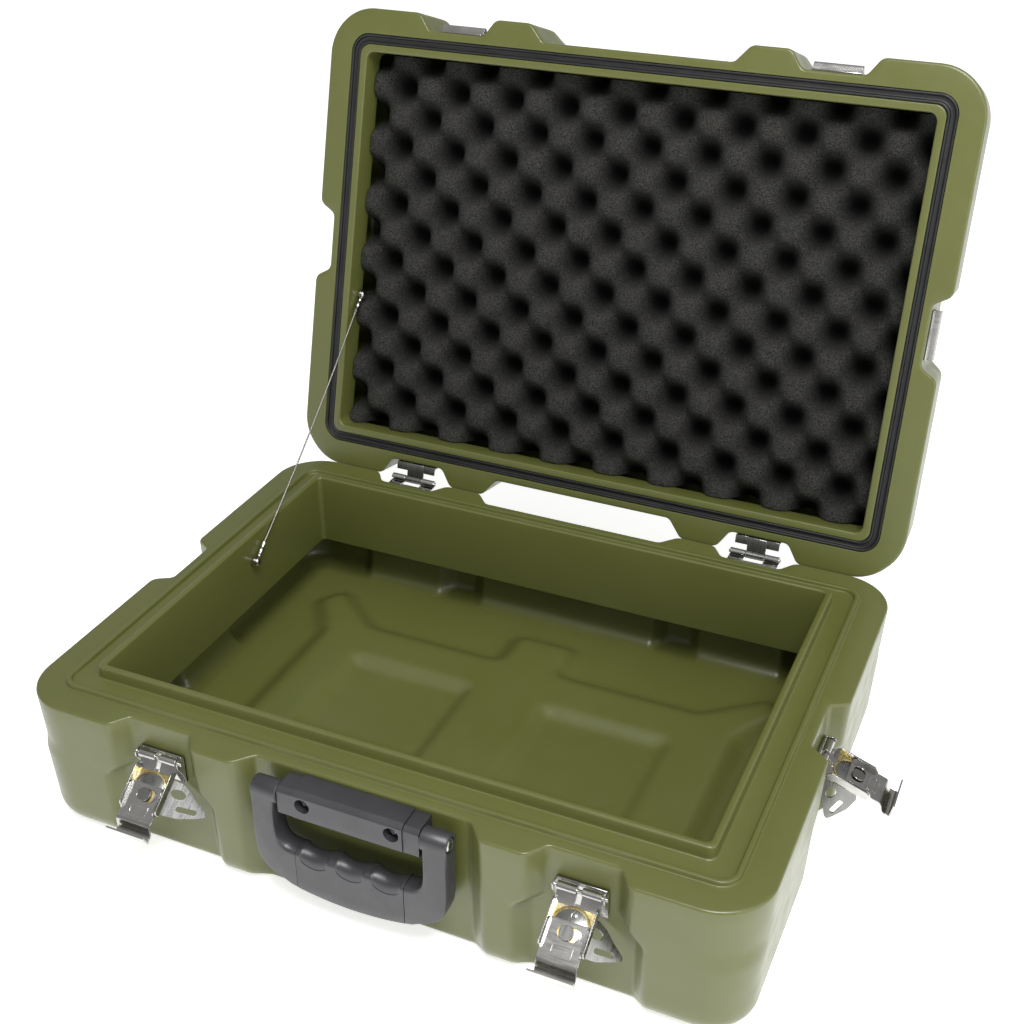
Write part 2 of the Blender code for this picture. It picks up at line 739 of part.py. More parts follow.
def strike_outline():
    """Strike plate with its rolled bar, in (along, out) about the bar's height."""
    wall = -LATCH_STANDOFF + CLEARANCE
    centre = STRIKE_STANDOFF - LATCH_STANDOFF
    bar = [math.radians(-60 + 24 * i) for i in range(6)]
    points = [(-9 * MM, wall), (-9 * MM, wall + 1.2 * MM), (-3.1 * MM, wall + 1.2 * MM)]
    points += [(STRIKE_RADIUS * math.sin(a), centre + STRIKE_RADIUS * math.cos(a)) for a in bar]
    points += [(3.1 * MM, wall + 1.2 * MM), (9 * MM, wall + 1.2 * MM), (9 * MM, wall)]
    return [(along + LATCH_DROP + STRIKE_RISE, out) for along, out in points]


def make_latch(name, mount_matrix, hang_angle, fold_angle, lid_pivot):
    """One draw latch at a mount whose +X runs across the latch and -Y points out of the wall."""
    mount = empty(f"{name}_mount", mount_matrix)
    pivot = empty(f"{name}_pivot", Matrix.Rotation(math.pi - hang_angle, 4, "X"), mount)
    axis = Matrix.Translation((0, -FOLD_AXIS_OUT, CAM_ALONG))
    fold = empty(f"{name}_fold", axis @ Matrix.Rotation(-fold_angle, 4, "Z"), pivot)
    make_latch_bracket(f"{name}_bracket", mount)
    made(f"{name}_pin", lambda bm: bore(bm, PIN_RADIUS, LATCH_PIN_END), STAINLESS, mount)
    make_link(f"{name}_link", pivot)
    make_arm(f"{name}_hook_arm", pivot)
    make_cam(f"{name}_cam", pivot)
    make_wing(f"{name}_wing", fold)
    strike_mount = empty(f"{name}_strike_mount", mount_matrix, lid_pivot)

    def strike(bm):
        across(bm, strike_outline(), -STRIKE_HALF_WIDTH, STRIKE_HALF_WIDTH)

    made(f"{name}_strike", strike, STAINLESS, strike_mount)


def make_latches(lid_pivot):
    pivot_z = RIM - LATCH_DROP
    front = -(POCKET_FLOOR_Y + LATCH_STANDOFF)
    side = POCKET_FLOOR_X + LATCH_STANDOFF
    front_left = Matrix.Translation((-LATCH_X, front, pivot_z))
    front_right = Matrix.Translation((LATCH_X, front, pivot_z))
    right = Matrix.Translation((side, 0, pivot_z)) @ Matrix.Rotation(math.pi / 2, 4, "Z")
    left = Matrix.Translation((-side, 0, pivot_z)) @ Matrix.Rotation(-math.pi / 2, 4, "Z")
    places = {
        "latch_front_left": (front_left, 53.5, 35),
        "latch_front_right": (front_right, 58.6, 43),
        "latch_right": (right, 70, 88),
        "latch_left": (left, 58, 35),
    }
    for name, (matrix, hang, fold) in places.items():
        make_latch(name, matrix, math.radians(hang), math.radians(fold), lid_pivot)


# Handle


def build_handle_bracket(bm):
    wall = -(POCKET_FLOOR_Y + CLEARANCE)
    front = -206 * MM
    points = [(wall, -2), (-203 * MM, -2), (front, -4.5), (front, -25)]
    points += [(-204 * MM, -26.4), (wall, -26.4)]
    outline = [(y, RIM + z * MM) for y, z in points]
    prism(bm, outline, "X", -BRACKET_HALF_LENGTH, BRACKET_HALF_LENGTH)


def make_handle_bracket():
    """Bar between the handle's barrels, with a recessed hole for each mounting screw."""
    bracket = made("handle_bracket", build_handle_bracket, BLACK_PLASTIC)

    def counterbores(bm):
        for x in (-MOUNTING_SCREW_X, MOUNTING_SCREW_X):
            prism(bm, circle(x, MOUNTING_SCREW_Z, 4.2 * MM), "Y", -210 * MM, -198 * MM)

    def pivot_bores(bm):
        reach = BRACKET_HALF_LENGTH
        for low, high in ((-reach - 1 * MM, -reach + 9 * MM), (reach - 9 * MM, reach + 1 * MM)):
            prism(bm, circle(HANDLE_AXIS_Y, HANDLE_AXIS_Z, 2.3 * MM), "X", low, high)

    combine(bracket, "DIFFERENCE", counterbores)
    combine(bracket, "DIFFERENCE", pivot_bores)
    for side, x in (("left", -MOUNTING_SCREW_X), ("right", MOUNTING_SCREW_X)):
        head = circle(x, MOUNTING_SCREW_Z, 3.8 * MM)
        name = f"handle_mounting_screw_{side}"
        made(name, lambda bm: prism(bm, head, "Y", -201 * MM, -198.3 * MM), STAINLESS)


def grip_bottom(x):
    """Height of the handle's curved lower edge below the rim."""
    return -91.5 * MM + 11 * MM * (x / (66 * MM)) ** 2


def handle_arm_outline(way):
    """Handle arm in X and Z, from its barrel round the corner to the grip's seam."""
    seam = SEAM_X + CLEARANCE / 2
    points = [(55.5, -11.4), (55.5, -38), (53, -47), (48, -52), (seam / MM, -53.5)]
    points += [(x, grip_bottom(x * MM) / MM) for x in (seam / MM, 50, 58, 64)]
    points += [(69, -74), (71.8, -66), (72.5, -56), (72.5, -11.4)]
    return [(way * x * MM, RIM + z * MM) for x, z in points]


def make_handle_arm(name, way, pivot):
    back, front = -191.5 * MM, -207.2 * MM

    def local(outline):
        return [(x, z - HANDLE_AXIS_Z) for x, z in outline]

    def leg(bm):
        prism(bm, local(handle_arm_outline(way)), "Y", front - HANDLE_AXIS_Y, back - HANDLE_AXIS_Y)

    def barrel(bm):
        low, high = sorted((way * (BRACKET_HALF_LENGTH + 0.5 * MM), way * ARM_OUTER_X))
        prism(bm, circle(0, 0, BARREL_RADIUS, 16), "X", low, high)

    def screw_bore(bm):
        prism(bm, circle(0, 0, 2.3 * MM), "X", *sorted((way * 50 * MM, way * 76 * MM)))

    def screw_seat(bm):
        prism(bm, circle(0, 0, 5.6 * MM, 16), "X", *sorted((way * 69.5 * MM, way * 76 * MM)))

    arm = made(name, leg, BLACK_PLASTIC, pivot)
    combine(arm, "UNION", barrel)
    combine(arm, "DIFFERENCE", screw_bore)
    return combine(arm, "DIFFERENCE", screw_seat)


def make_pivot_screw(name, way):
    """Chromed pan head in the barrel's seat, on a shank that runs into the bracket."""

    def head(bm):
        low, high = sorted((way * 69.8 * MM, way * 72.3 * MM))
        prism(bm, circle(HANDLE_AXIS_Y, HANDLE_AXIS_Z, 5.2 * MM, 16), "X", low, high)

    def shank(bm):
        low, high = sorted((way * 46 * MM, way * 71 * MM))
        prism(bm, circle(HANDLE_AXIS_Y, HANDLE_AXIS_Z, 1.9 * MM), "X", low, high)

    return combine(made(name, head, STAINLESS), "UNION", shank)


def build_grip(bm):
    """Grip in X and Z: three finger hollows along the top and a bowed lower edge."""
    seam = SEAM_X - CLEARANCE / 2
    steps = 12
    top = []
    for i in range(steps + 1):
        x = seam * (2 * i / steps - 1)
        hollow = 0.5 - 0.5 * math.cos(6 * math.pi * i / steps)
        top.append((x, RIM - 53.2 * MM - 2.2 * MM * hollow))
    bottom = [(x, RIM + grip_bottom(x)) for x in (seam, seam / 2, 0.0, -seam / 2, -seam)]
    outline = [(x, z - HANDLE_AXIS_Z) for x, z in top[::-1] + bottom[::-1]]
    prism(bm, outline, "Y", -207.6 * MM - HANDLE_AXIS_Y, -191 * MM - HANDLE_AXIS_Y)


def make_handle():
    make_handle_bracket()
    pivot = empty("handle_pivot", Matrix.Translation((0, HANDLE_AXIS_Y, HANDLE_AXIS_Z)))
    make_handle_arm("handle_arm_left", -1, pivot)
    make_handle_arm("handle_arm_right", 1, pivot)
    made("handle_grip", build_grip, BLACK_PLASTIC, pivot)
    make_pivot_screw("handle_pivot_screw_left", -1)
    make_pivot_screw("handle_pivot_screw_right", 1)


# Stay cable


def lid_origin():
    return Vector((0, HINGE_Y, HINGE_Z))


def opened(point):
    """A point of the closed lid, moved to the open lid."""
    return lid_origin() + Matrix.Rotation(-LID_OPEN_ANGLE, 3, "X") @ (point - lid_origin())


def anchor_points():
    """Where the cable's eyes sit on their screws, in the open case."""
    off_wall = Vector((EYE_STANDOFF, 0, 0))
    return BASE_ANCHOR + off_wall, opened(LID_ANCHOR + off_wall)


def make_anchor(name, wall_point):
    """Shoulder screw whose axis is +X: the collar stands on the wall and the head holds the eye."""
    mount = empty(f"{name}_mount", Matrix.Translation(wall_point))

    def head(bm):
        prism(bm, circle(0, 0, 4 * MM), "X", 4.4 * MM, 6.4 * MM)

    def shank(bm):
        prism(bm, circle(0, 0, 2 * MM, 8), "X", 1 * MM, 5 * MM)

    def collar(bm):
        prism(bm, circle(0, 0, 3.6 * MM), "X", CLEARANCE, 2.4 * MM)

    screw = combine(made(name, head, STAINLESS, mount), "UNION", shank)
    return combine(screw, "UNION", collar)


def make_ferrule(name, eye, towards):
    """Crimped ferrule with its eye: the eye rings the screw and the barrel points along the cable."""
    along = (towards - eye).normalized()
    across_way = along.cross(Vector((1, 0, 0))).normalized()
    face = across_way.cross(along).normalized()
    frame = Matrix((along, across_way, face)).transposed().to_4x4()
    mount = empty(f"{name}_mount", Matrix.Translation(eye) @ frame)

    def eye_ring(bm):
        half = EYE_HALF_THICKNESS
        prism(bm, circle(0, 0, EYE_RADIUS), "Z", -half, half, [circle(0, 0, 2.6 * MM)])

    def barrel(bm):
        end = FERRULE_START + FERRULE_LENGTH
        prism(bm, circle(0, 0, 1.9 * MM, 10), "X", FERRULE_START, end)

    return combine(made(name, eye_ring, STAINLESS, mount), "UNION", barrel)


def cable_route():
    """Points along the taut stay cable between its two ferrules, a slight slack under gravity."""
    low, high = anchor_points()
    way = (high - low).normalized()
    start = low + way * (FERRULE_START + FERRULE_LENGTH + CLEARANCE)
    end = high - way * (FERRULE_START + FERRULE_LENGTH + CLEARANCE)
    sag = Vector((0, 1.5 * MM, -3 * MM))
    count = 44
    shares = [i / count for i in range(count + 1)]
    return [start.lerp(end, s) + sag * 4 * s * (1 - s) for s in shares]


def make_cable():
    route = cable_route()
    curve = bpy.data.curves.new("stay_cable", "CURVE")
    curve.dimensions = "3D"
    curve.bevel_depth = CABLE_RADIUS
    curve.bevel_resolution = 2
    curve.use_fill_caps = True
    spline = curve.splines.new("POLY")
    spline.points.add(len(route) - 1)
    for point, place in zip(spline.points, route):
        point.co = (*place, 1)
    cable = bpy.data.objects.new("stay_cable", curve)
    bpy.context.collection.objects.link(cable)
    material = bpy.data.materials.new("stay_cable")
    material.use_nodes = True
    shader = material.node_tree.nodes["Principled BSDF"]
    shader.inputs["Base Color"].default_value = (*STAINLESS[0], 1)
    shader.inputs["Roughness"].default_value = STAINLESS[1]
    shader.inputs["Metallic"].default_value = STAINLESS[2]
    curve.materials.append(material)


def make_stay():
    low, high = anchor_points()
    make_ferrule("stay_ferrule_base", low, high)
    make_ferrule("stay_ferrule_lid", high, low)
    make_anchor("stay_screw_base", BASE_ANCHOR)
    make_anchor("stay_screw_lid", opened(LID_ANCHOR))
    make_cable()


def main():
    clear_scene()
    opening = Matrix.Translation(lid_origin()) @ Matrix.Rotation(-LID_OPEN_ANGLE, 4, "X")
    hinge_axis = empty("lid_hinge_axis", opening)
    lid_pivot = empty("lid_pivot", Matrix.Translation(-lid_origin()), hinge_axis)
    make_shells(lid_pivot)
    make_hinges(lid_pivot)
    make_latches(lid_pivot)
    make_handle()
    make_stay()


main()
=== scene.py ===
"""Looks of the hard equipment case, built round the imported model.

Moulded shells, gasket, convoluted foam, hinges, draw latches, carry handle and stay rope.
Metres, in the model's own frame: +Z up, -Y the handle side, origin under the base.
"""

import math
from functools import partial

import bmesh
import bpy
import numpy as np
from mathutils import Matrix, Vector
from mathutils.geometry import tessellate_polygon


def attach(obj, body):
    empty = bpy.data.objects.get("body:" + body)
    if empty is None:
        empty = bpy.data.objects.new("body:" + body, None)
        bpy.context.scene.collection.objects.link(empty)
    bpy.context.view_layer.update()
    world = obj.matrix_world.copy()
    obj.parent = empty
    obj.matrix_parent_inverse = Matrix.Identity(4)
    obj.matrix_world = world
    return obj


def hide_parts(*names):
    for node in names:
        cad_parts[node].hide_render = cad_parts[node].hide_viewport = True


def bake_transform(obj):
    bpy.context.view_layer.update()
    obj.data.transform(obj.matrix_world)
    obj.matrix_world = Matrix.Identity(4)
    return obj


MM = 0.001

# Shells
CASE_LENGTH = 550 * MM
CASE_WIDTH = 398.5 * MM
RIM = 115 * MM
LID_RIM = RIM + 0.4 * MM
LID_HEIGHT = 63 * MM
WALL = 5 * MM
CORNER_RADIUS = 42.7 * MM
DRAFT = math.tan(math.radians(2.5))
POCKET_DEPTH = 14 * MM
POCKET_FLOOR_X = CASE_LENGTH / 2 - POCKET_DEPTH
POCKET_FLOOR_Y = CASE_WIDTH / 2 - POCKET_DEPTH
LATCH_X = 158 * MM
LATCH_POCKET = (34.5 * MM, 24.5 * MM)
HANDLE_POCKET = (92.2 * MM, 79.9 * MM)
SIDE_POCKET = (32.5 * MM, 24.4 * MM)
POCKET_WIDENING = 11 * MM
RIM_EDGE = 2.2 * MM
BASE_EDGE = 18 * MM
LID_EDGE = 13 * MM
POCKET_EDGE = 6 * MM
LID_OVERHANG = 1.5 * MM
FLOOR = 14.4 * MM
RIDGE_RISE = 10.1 * MM
PANEL_DROP = 6.1 * MM
FOAM_PEAK = 16.5 * MM
FOAM_DEPTH = 29 * MM
FOAM_GRAIN = 0.25 * MM

# Lid opening
HINGE_Y = 199.8 * MM
HINGE_Z = RIM - 2.4 * MM
LID_OPEN_ANGLE = math.radians(105.2)

# Latches; the plain numbers are millimetres, as the latch helpers take them
LATCH_DROP = 24.4 * MM
LATCH_STANDOFF = 6 * MM
BRACKET_HALF = 17.8
PIN_HALF = 18.8
LINK_HALF = 15.2
ARM_HALF = 13.7
HOOK_HALF = 15.4
SHEET = 1.1
CAM_ALONG = 22 * MM
RIVET_ALONG = 26.5 * MM
FOLD_AXIS_OUT = 9.6 * MM
WALL_OUT = -LATCH_STANDOFF + 0.3 * MM

# Handle
HANDLE_Y = -199.3 * MM
HANDLE_Z = RIM - 11.4 * MM
SEAM_X = 41 * MM
END_SCREW_X = 69.9 * MM
BAR_SCREW = (33 * MM, -199 * MM, RIM - 12 * MM)

# Stay rope
ROPE_RADIUS = 0.75 * MM
BASE_ANCHOR = Vector((-227.5 * MM, 40.7 * MM, RIM - 13.8 * MM))
LID_ANCHOR = Vector((-239.5 * MM, 45.7 * MM, LID_RIM + 18.5 * MM))
EYE_STANDOFF = Vector((3.4 * MM, 0, 0))
FERRULE_END = 19 * MM
ROPE_START = FERRULE_END + 0.3 * MM
ROPE_SAG = Vector((0, 1.5 * MM, -3 * MM))

# Studio; a light is its place, its size and its power in watts
CAMERA_LENS = 51.4526
CAMERA_PLACE = (0.38824, -0.81735, 0.75780)
CAMERA_RIGHT = Vector((0.91466, 0.40422, 0.0001))
CAMERA_UP = Vector((-0.20535, 0.46441, 0.86149))
CAMERA_BACK = Vector((0.34817, -0.78799, 0.50778))
KEY_LIGHT = ((0.6, -0.9, 2.1), (0.9, 0.9), 50)
RIGHT_LIGHT = ((1.9, -0.5, 1.0), (1.6, 0.9), 11)
LIGHT_TARGET = Vector((0, 0, 0.1))
FLOOR_HALF = 6.0
FLOOR_GLOW = 0.66
SKY_STOPS = ((0.0, 1.2), (0.1, 0.45), (0.3, 0.30), (0.6, 0.36), (0.9, 0.50))

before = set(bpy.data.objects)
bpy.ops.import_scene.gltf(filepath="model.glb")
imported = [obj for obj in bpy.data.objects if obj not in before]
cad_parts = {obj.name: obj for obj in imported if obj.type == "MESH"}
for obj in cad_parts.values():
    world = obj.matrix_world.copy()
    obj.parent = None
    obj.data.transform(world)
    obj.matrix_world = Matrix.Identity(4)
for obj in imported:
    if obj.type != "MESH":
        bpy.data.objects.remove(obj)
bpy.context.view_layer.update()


# Mesh helpers


def metres(points):
    """Pairs of millimetres as pairs of metres."""
    return [(a * MM, b * MM) for a, b in points]


def loft(bm, rings, closed=False):
    """Joins rings of equally many vertices; closed joins the last one to the first as well."""
    pairs = list(zip(rings, rings[1:]))
    if closed:
        pairs.append((rings[-1], rings[0]))
    for low, high in pairs:
        for i in range(len(low)):
            j = (i + 1) % len(low)
            bm.faces.new((low[i], low[j], high[j], high[i]))


def fill(bm, *loops):
    """Closes one loop with a face, or the area between several with triangles."""
    if len(loops) == 1:
        bm.faces.new(loops[0])
        return
    verts = [vert for loop in loops for vert in loop]
    for triangle in tessellate_polygon([[vert.co for vert in loop] for loop in loops]):
        bm.faces.new([verts[i] for i in triangle])


def solid(bm, rings):
    """Lofts rings and closes both ends."""
    loft(bm, rings)
    fill(bm, rings[0])
    fill(bm, rings[-1])


def prism(bm, outline, axis, low, high, holes=()):
    """Extrudes an outline along an axis; its two coordinates are the other two axes, in order."""
    order = {"X": (2, 0, 1), "Y": (0, 2, 1), "Z": (0, 1, 2)}[axis]
    ends = []
    for depth in (low, high):
        loops = []
        for points in (outline, *holes):
            loops.append([bm.verts.new([(u, v, depth)[k] for k in order]) for u, v in points])
        fill(bm, *loops)
        ends.append(loops)
    for first, second in zip(*ends):
        loft(bm, [first, second])


def circle(centre_u, centre_v, radius, steps=32):
    angles = [2 * math.pi * i / steps for i in range(steps)]
    return [(centre_u + radius * math.cos(a), centre_v + radius * math.sin(a)) for a in angles]


def arc(centre, radius, turns):
    """Points at the given turns round a centre on the first axis."""
    return [(centre + radius * math.cos(a), radius * math.sin(a)) for a in turns]


def capsule(u, v, half_length, radius, angle=0.0, steps=10):
    """Outline of a slot with round ends, its length turned by an angle."""
    points = []
    for way in (1, -1):
        for i in range(steps + 1):
            turn = math.pi * (i / steps - 0.5) + (0 if way > 0 else math.pi)
            points.append((way * half_length + radius * math.cos(turn), radius * math.sin(turn)))
    c, s = math.cos(angle), math.sin(angle)
    return [(u + x * c - y * s, v + x * s + y * c) for x, y in points]


def rounded(points, radii, steps, closed=True):
    """Rounds each corner of an outline; every corner gives steps + 1 points, whatever its turn."""
    count = len(points)
    result = []
    for i, (point, radius, number) in enumerate(zip(points, radii, steps)):
        here = Vector(point)
        if not closed and i in (0, count - 1):
            result.append(tuple(here))
            continue
        into = here - Vector(points[i - 1])
        onward = Vector(points[(i + 1) % count]) - here
        room = 0.48 * min(into.length, onward.length)
        into.normalize()
        onward.normalize()
        half_turn = math.acos(max(-1.0, min(1.0, into.dot(onward)))) / 2
        run = min(max(radius * math.tan(half_turn), 0.8 * MM), room)
        start, end = here - into * run, here + onward * run
        weight = math.cos(half_turn)
        for k in range(number + 1):
            s = k / number
            shares = ((1 - s) ** 2, 2 * s * (1 - s) * weight, s * s)
            blend = start * shares[0] + here * shares[1] + end * shares[2]
            result.append(tuple(blend / sum(shares)))
    return result


def soft_outline(points, radius, steps=4):
    """Closed outline in millimetres with every corner rounded alike, in metres."""
    return rounded(metres(points), [radius * MM] * len(points), [steps] * len(points))


def soft_rectangle(half, low, high, radius, steps=4):
    corners = [(-half, low), (half, low), (half, high), (-half, high)]
    return soft_outline(corners, radius, steps)


def sheet_outline(path, thickness):
    """Outline of a bent sheet that follows a path, thickened to both sides."""
    sides = ([], [])
    for i, point in enumerate(path):
        here = Vector(point)
        into = (here - Vector(path[max(i - 1, 0)])).normalized()
        out = (Vector(path[min(i + 1, len(path) - 1)]) - here).normalized()
        into = into if i else out
        out = out if i + 1 < len(path) else into
        bisector = (into + out).normalized()
        normal = Vector((-bisector.y, bisector.x))
        reach = thickness / 2 / max(bisector.dot(into), 0.3)
        sides[0].append(tuple(here + normal * reach))
        sides[1].append(tuple(here - normal * reach))
    return sides[0] + sides[1][::-1]


def revolve(bm, profile, origin, axis, steps=32):
    """Solid of revolution; profile lists (radius, height) in millimetres along an axis."""
    axis = Vector(axis).normalized()
    side = axis.orthogonal().normalized()
    other = axis.cross(side)
    rings = []
    for radius, height in metres(profile):
        loop = []
        for i in range(steps):
            a = 2 * math.pi * i / steps
            way = side * math.cos(a) + other * math.sin(a)
            loop.append(bm.verts.new(Vector(origin) + axis * height + way * radius))
        rings.append(loop)
    solid(bm, rings)


def pin_builder(half, bevel, origin):
    """Builder of a pin along X with bevelled ends; half and bevel are millimetres."""
    profile = [(1.0, -half - bevel), (1.4, -half), (1.4, half), (1.0, half + bevel)]
    return partial(revolve, profile=profile, origin=origin, axis=(1, 0, 0), steps=20)


def built_mesh(name, build):
    bm = bmesh.new()
    build(bm)
    bmesh.ops.recalc_face_normals(bm, faces=bm.faces[:])
    mesh = bpy.data.meshes.new(name)
    bm.to_mesh(mesh)
    bm.free()
    return mesh


def add_object(name, data):
    item = bpy.data.objects.new(name, data)
    bpy.context.collection.objects.link(item)
    return item


def new_piece(name, build, material, body, nodes, matrix=None, bevel=0.0, smooth=35):
    """Builds a piece with its look, riding on its body in place of CAD nodes."""
    mesh = built_mesh(name, build)
    if matrix is not None:
        mesh.transform(matrix)
    mesh.materials.append(material)
    mesh.shade_smooth()
    mesh.set_sharp_from_angle(angle=math.radians(smooth))
    piece = add_object(name, mesh)
    if bevel:
        modifier = piece.modifiers.new("Bevel", "BEVEL")
        modifier.width = bevel
        modifier.segments = 2
        modifier.limit_method = "ANGLE"
        modifier.angle_limit = math.radians(35)
    if body:
        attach(piece, body)
    if nodes:
        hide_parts(*nodes)
    return piece


# Materials


def set_stops(node, stops):
    """Gives a colour ramp its (position, colour) stops."""
    elements = node.color_ramp.elements
    while len(elements) < len(stops):
        elements.new(0.5)
    for element, (position, colour) in zip(elements, stops):
        element.position = position
        element.color = (*colour, 1)


class Look:
    """A Principled material and the nodes that vary it."""

    def __init__(self, name, colour, roughness, metallic=0.0):
        self.material = bpy.data.materials.new(name)
        self.material.use_nodes = True
        self.nodes = self.material.node_tree.nodes
        self.links = self.material.node_tree.links
        self.shader = self.nodes["Principled BSDF"]
        self.set("Base Color", (*colour, 1))
        self.set("Roughness", roughness)
        self.set("Metallic", metallic)
        self.place = self.nodes.new("ShaderNodeTexCoord").outputs["Object"]
        self.normal = None

    def set(self, name, value):
        self.shader.inputs[name].default_value = value

    def node(self, kind, inputs):
        """Adds a node; an input that is given another node's output is linked to it."""
        node = self.nodes.new(f"ShaderNode{kind}")
        for name, value in inputs.items():
            if isinstance(value, bpy.types.NodeSocket):
                self.links.new(value, node.inputs[name])
            else:
                node.inputs[name].default_value = value
        return node

    def noise(self, scale, detail=3.0, roughness=0.55, vector=None):
        inputs = {"Scale": scale, "Detail": detail, "Roughness": roughness}
        inputs["Vector"] = vector or self.place
        return self.node("TexNoise", inputs).outputs["Fac"]

    def cells(self, scale):
        node = self.node("TexVoronoi", {"Scale": scale, "Vector": self.place})
        return node.outputs["Distance"]

    def ramp(self, value, stops):
        """Maps a value through (position, colour) stops."""
        node = self.node("ValToRGB", {"Fac": value})
        set_stops(node, stops)
        return node.outputs["Color"]

    def colour(self, value, stops):
        self.links.new(self.ramp(value, stops), self.shader.inputs["Base Color"])

    def gloss(self, value, low, high):
        inputs = {"From Min": 0.3, "From Max": 0.7, "To Min": low, "To Max": high, "Value": value}
        result = self.node("MapRange", inputs).outputs["Result"]
        self.links.new(result, self.shader.inputs["Roughness"])

    def bump(self, value, distance, strength=1.0):
        """Adds a bump on top of those already there."""
        inputs = {"Distance": distance, "Strength": strength, "Height": value}
        if self.normal:
            inputs["Normal"] = self.normal
        self.normal = self.node("Bump", inputs).outputs["Normal"]
        self.links.new(self.normal, self.shader.inputs["Normal"])


def olive_look():
    look = Look("olive_polyethylene", (0.1, 0.11, 0.035), 0.45)
    cloud = look.noise(9, 4, 0.6)
    look.colour(cloud, [(0.3, (0.094, 0.103, 0.024)), (0.7, (0.104, 0.113, 0.029))])
    look.gloss(look.noise(60, 3), 0.30, 0.40)
    look.set("Specular IOR Level", 0.6)
    look.bump(look.noise(22, 2), 1.0 * MM, 0.25)
    look.bump(look.noise(1300, 2), 0.10 * MM, 0.35)
    return look.material


def foam_look():
    look = Look("charcoal_foam", (0.03, 0.029, 0.029), 0.95)
    grain = look.noise(900, 4, 0.8)
    tone = look.ramp(grain, [(0.38, (0.005, 0.005, 0.0048)), (0.62, (0.052, 0.051, 0.047))])
    # Painted shade: the base colour darkens towards the bottom of each hollow, read from the
    # hollow depth kept on the mesh.
    depth = look.node("Attribute", {})
    depth.attribute_name = "hollow"
    painted_hollow_shade = look.ramp(depth.outputs["Fac"], [(0.05, (1, 1, 1)), (0.75, (0.1, 0.1, 0.1))])
    mix = look.node("MixRGB", {"Fac": 1, "Color1": tone, "Color2": painted_hollow_shade})
    mix.blend_type = "MULTIPLY"
    look.links.new(mix.outputs["Color"], look.shader.inputs["Base Color"])
    look.set("Specular IOR Level", 0.15)
    look.bump(look.cells(600), 0.7 * MM, 0.8)
    look.bump(grain, 0.5 * MM, 0.9)
    return look.material


def rubber_look():
    look = Look("black_rubber", (0.012, 0.012, 0.014), 0.5)
    look.colour(look.noise(40, 3), [(0.3, (0.006, 0.006, 0.006)), (0.7, (0.012, 0.012, 0.013))])
    look.gloss(look.noise(120, 2), 0.38, 0.55)
    look.bump(look.noise(900, 2), 0.05 * MM, 0.4)
    return look.material


def plastic_look():
    look = Look("black_plastic", (0.03, 0.03, 0.033), 0.4)
    look.colour(look.noise(30, 4), [(0.3, (0.024, 0.024, 0.027)), (0.7, (0.032, 0.032, 0.036))])
    look.gloss(look.noise(90, 3), 0.36, 0.48)
    look.set("Specular IOR Level", 0.65)
    look.bump(look.cells(1600), 0.06 * MM, 0.5)
    return look.material


def steel_look(name, colour, low, high, streak=(60, 60, 900)):
    look = Look(name, colour, 0.25, 1.0)
    dark = tuple(0.82 * c for c in colour)
    look.colour(look.noise(70, 4), [(0.35, dark), (0.65, colour)])
    vector = look.node("Mapping", {"Scale": streak, "Vector": look.place}).outputs["Vector"]
    look.gloss(look.noise(1, 3, vector=vector), low, high)
    look.bump(look.noise(1, 3, vector=vector), 0.02 * MM, 0.3)
    return look.material


def zinc_look():
    look = Look("yellow_zinc", (0.75, 0.66, 0.36), 0.3, 1.0)
    stops = [(0.3, (0.62, 0.47, 0.15)), (0.5, (0.68, 0.58, 0.27)), (0.68, (0.60, 0.50, 0.34))]
    look.colour(look.noise(110, 3), stops)
    look.gloss(look.noise(300, 3), 0.22, 0.38)
    look.bump(look.noise(700, 2), 0.02 * MM, 0.3)
    return look.material


OLIVE = olive_look()
FOAM = foam_look()
RUBBER = rubber_look()
PLASTIC = plastic_look()
STAINLESS = steel_look("stainless_sheet", (0.52, 0.51, 0.49), 0.14, 0.28)
DARK_STEEL = steel_look("knuckle_steel", (0.30, 0.30, 0.29), 0.22, 0.34, (900, 60, 60))
CHROME = steel_look("plated_fastener", (0.62, 0.61, 0.59), 0.10, 0.20)
ZINC = zinc_look()
ROPE = steel_look("wire_rope", (0.34, 0.33, 0.30), 0.34, 0.46)


# Shells


def turned(point, quarter_turns):
    for _ in range(quarter_turns):
        point = (-point[1], point[0])
    return point


def case_outline(inset, floor_inset=None, widening=0.0, corner=None):
    """Outline of the case at an inset, its pockets cut to floor_inset; all have as many points."""
    depth = max(0.0, (floor_inset or inset) - inset)
    corner = max(CORNER_RADIUS - inset, 1.5 * MM) if corner is None else corner
    points, radii, steps = [], [], []
    for side in range(4):
        out, reach = CASE_LENGTH / 2 - inset, CASE_WIDTH / 2 - inset
        pockets = [(0.0, *SIDE_POCKET, widening)]
        if side % 2:
            out, reach = reach, out
            latch = (*LATCH_POCKET, widening)
            pockets = [(-LATCH_X, *latch), (0.0, *HANDLE_POCKET, 0.0), (LATCH_X, *latch)]
        for centre, half_mouth, half_floor, extra in pockets:
            stations = [(-half_mouth, 0.0), (-half_floor, depth)]
            stations += [(half_floor, depth), (half_mouth, 0.0)]
            for number, (along, down) in enumerate(stations):
                along += math.copysign(extra, along)
                limited = max(-0.9 * reach, min(0.9 * reach, centre + along))
                points.append(turned((out - down, limited), side))
                radii.append((8 if number in (0, 3) else 7) * MM)
                steps.append(6)
        points.append(turned((out, reach), side))
        radii.append(corner)
        steps.append(16)
    return rounded(points, radii, steps)


def ring(bm, outline, z):
    return [bm.verts.new((x, y, z)) for x, y in outline]


def arc_steps(radius, count):
    """(rise, inset) along a rounded edge, from the flat face to the wall."""
    turns = [math.pi / 2 * i / count for i in range(count + 1)]
    return [(radius * (1 - math.cos(a)), radius * (1 - math.sin(a))) for a in turns]


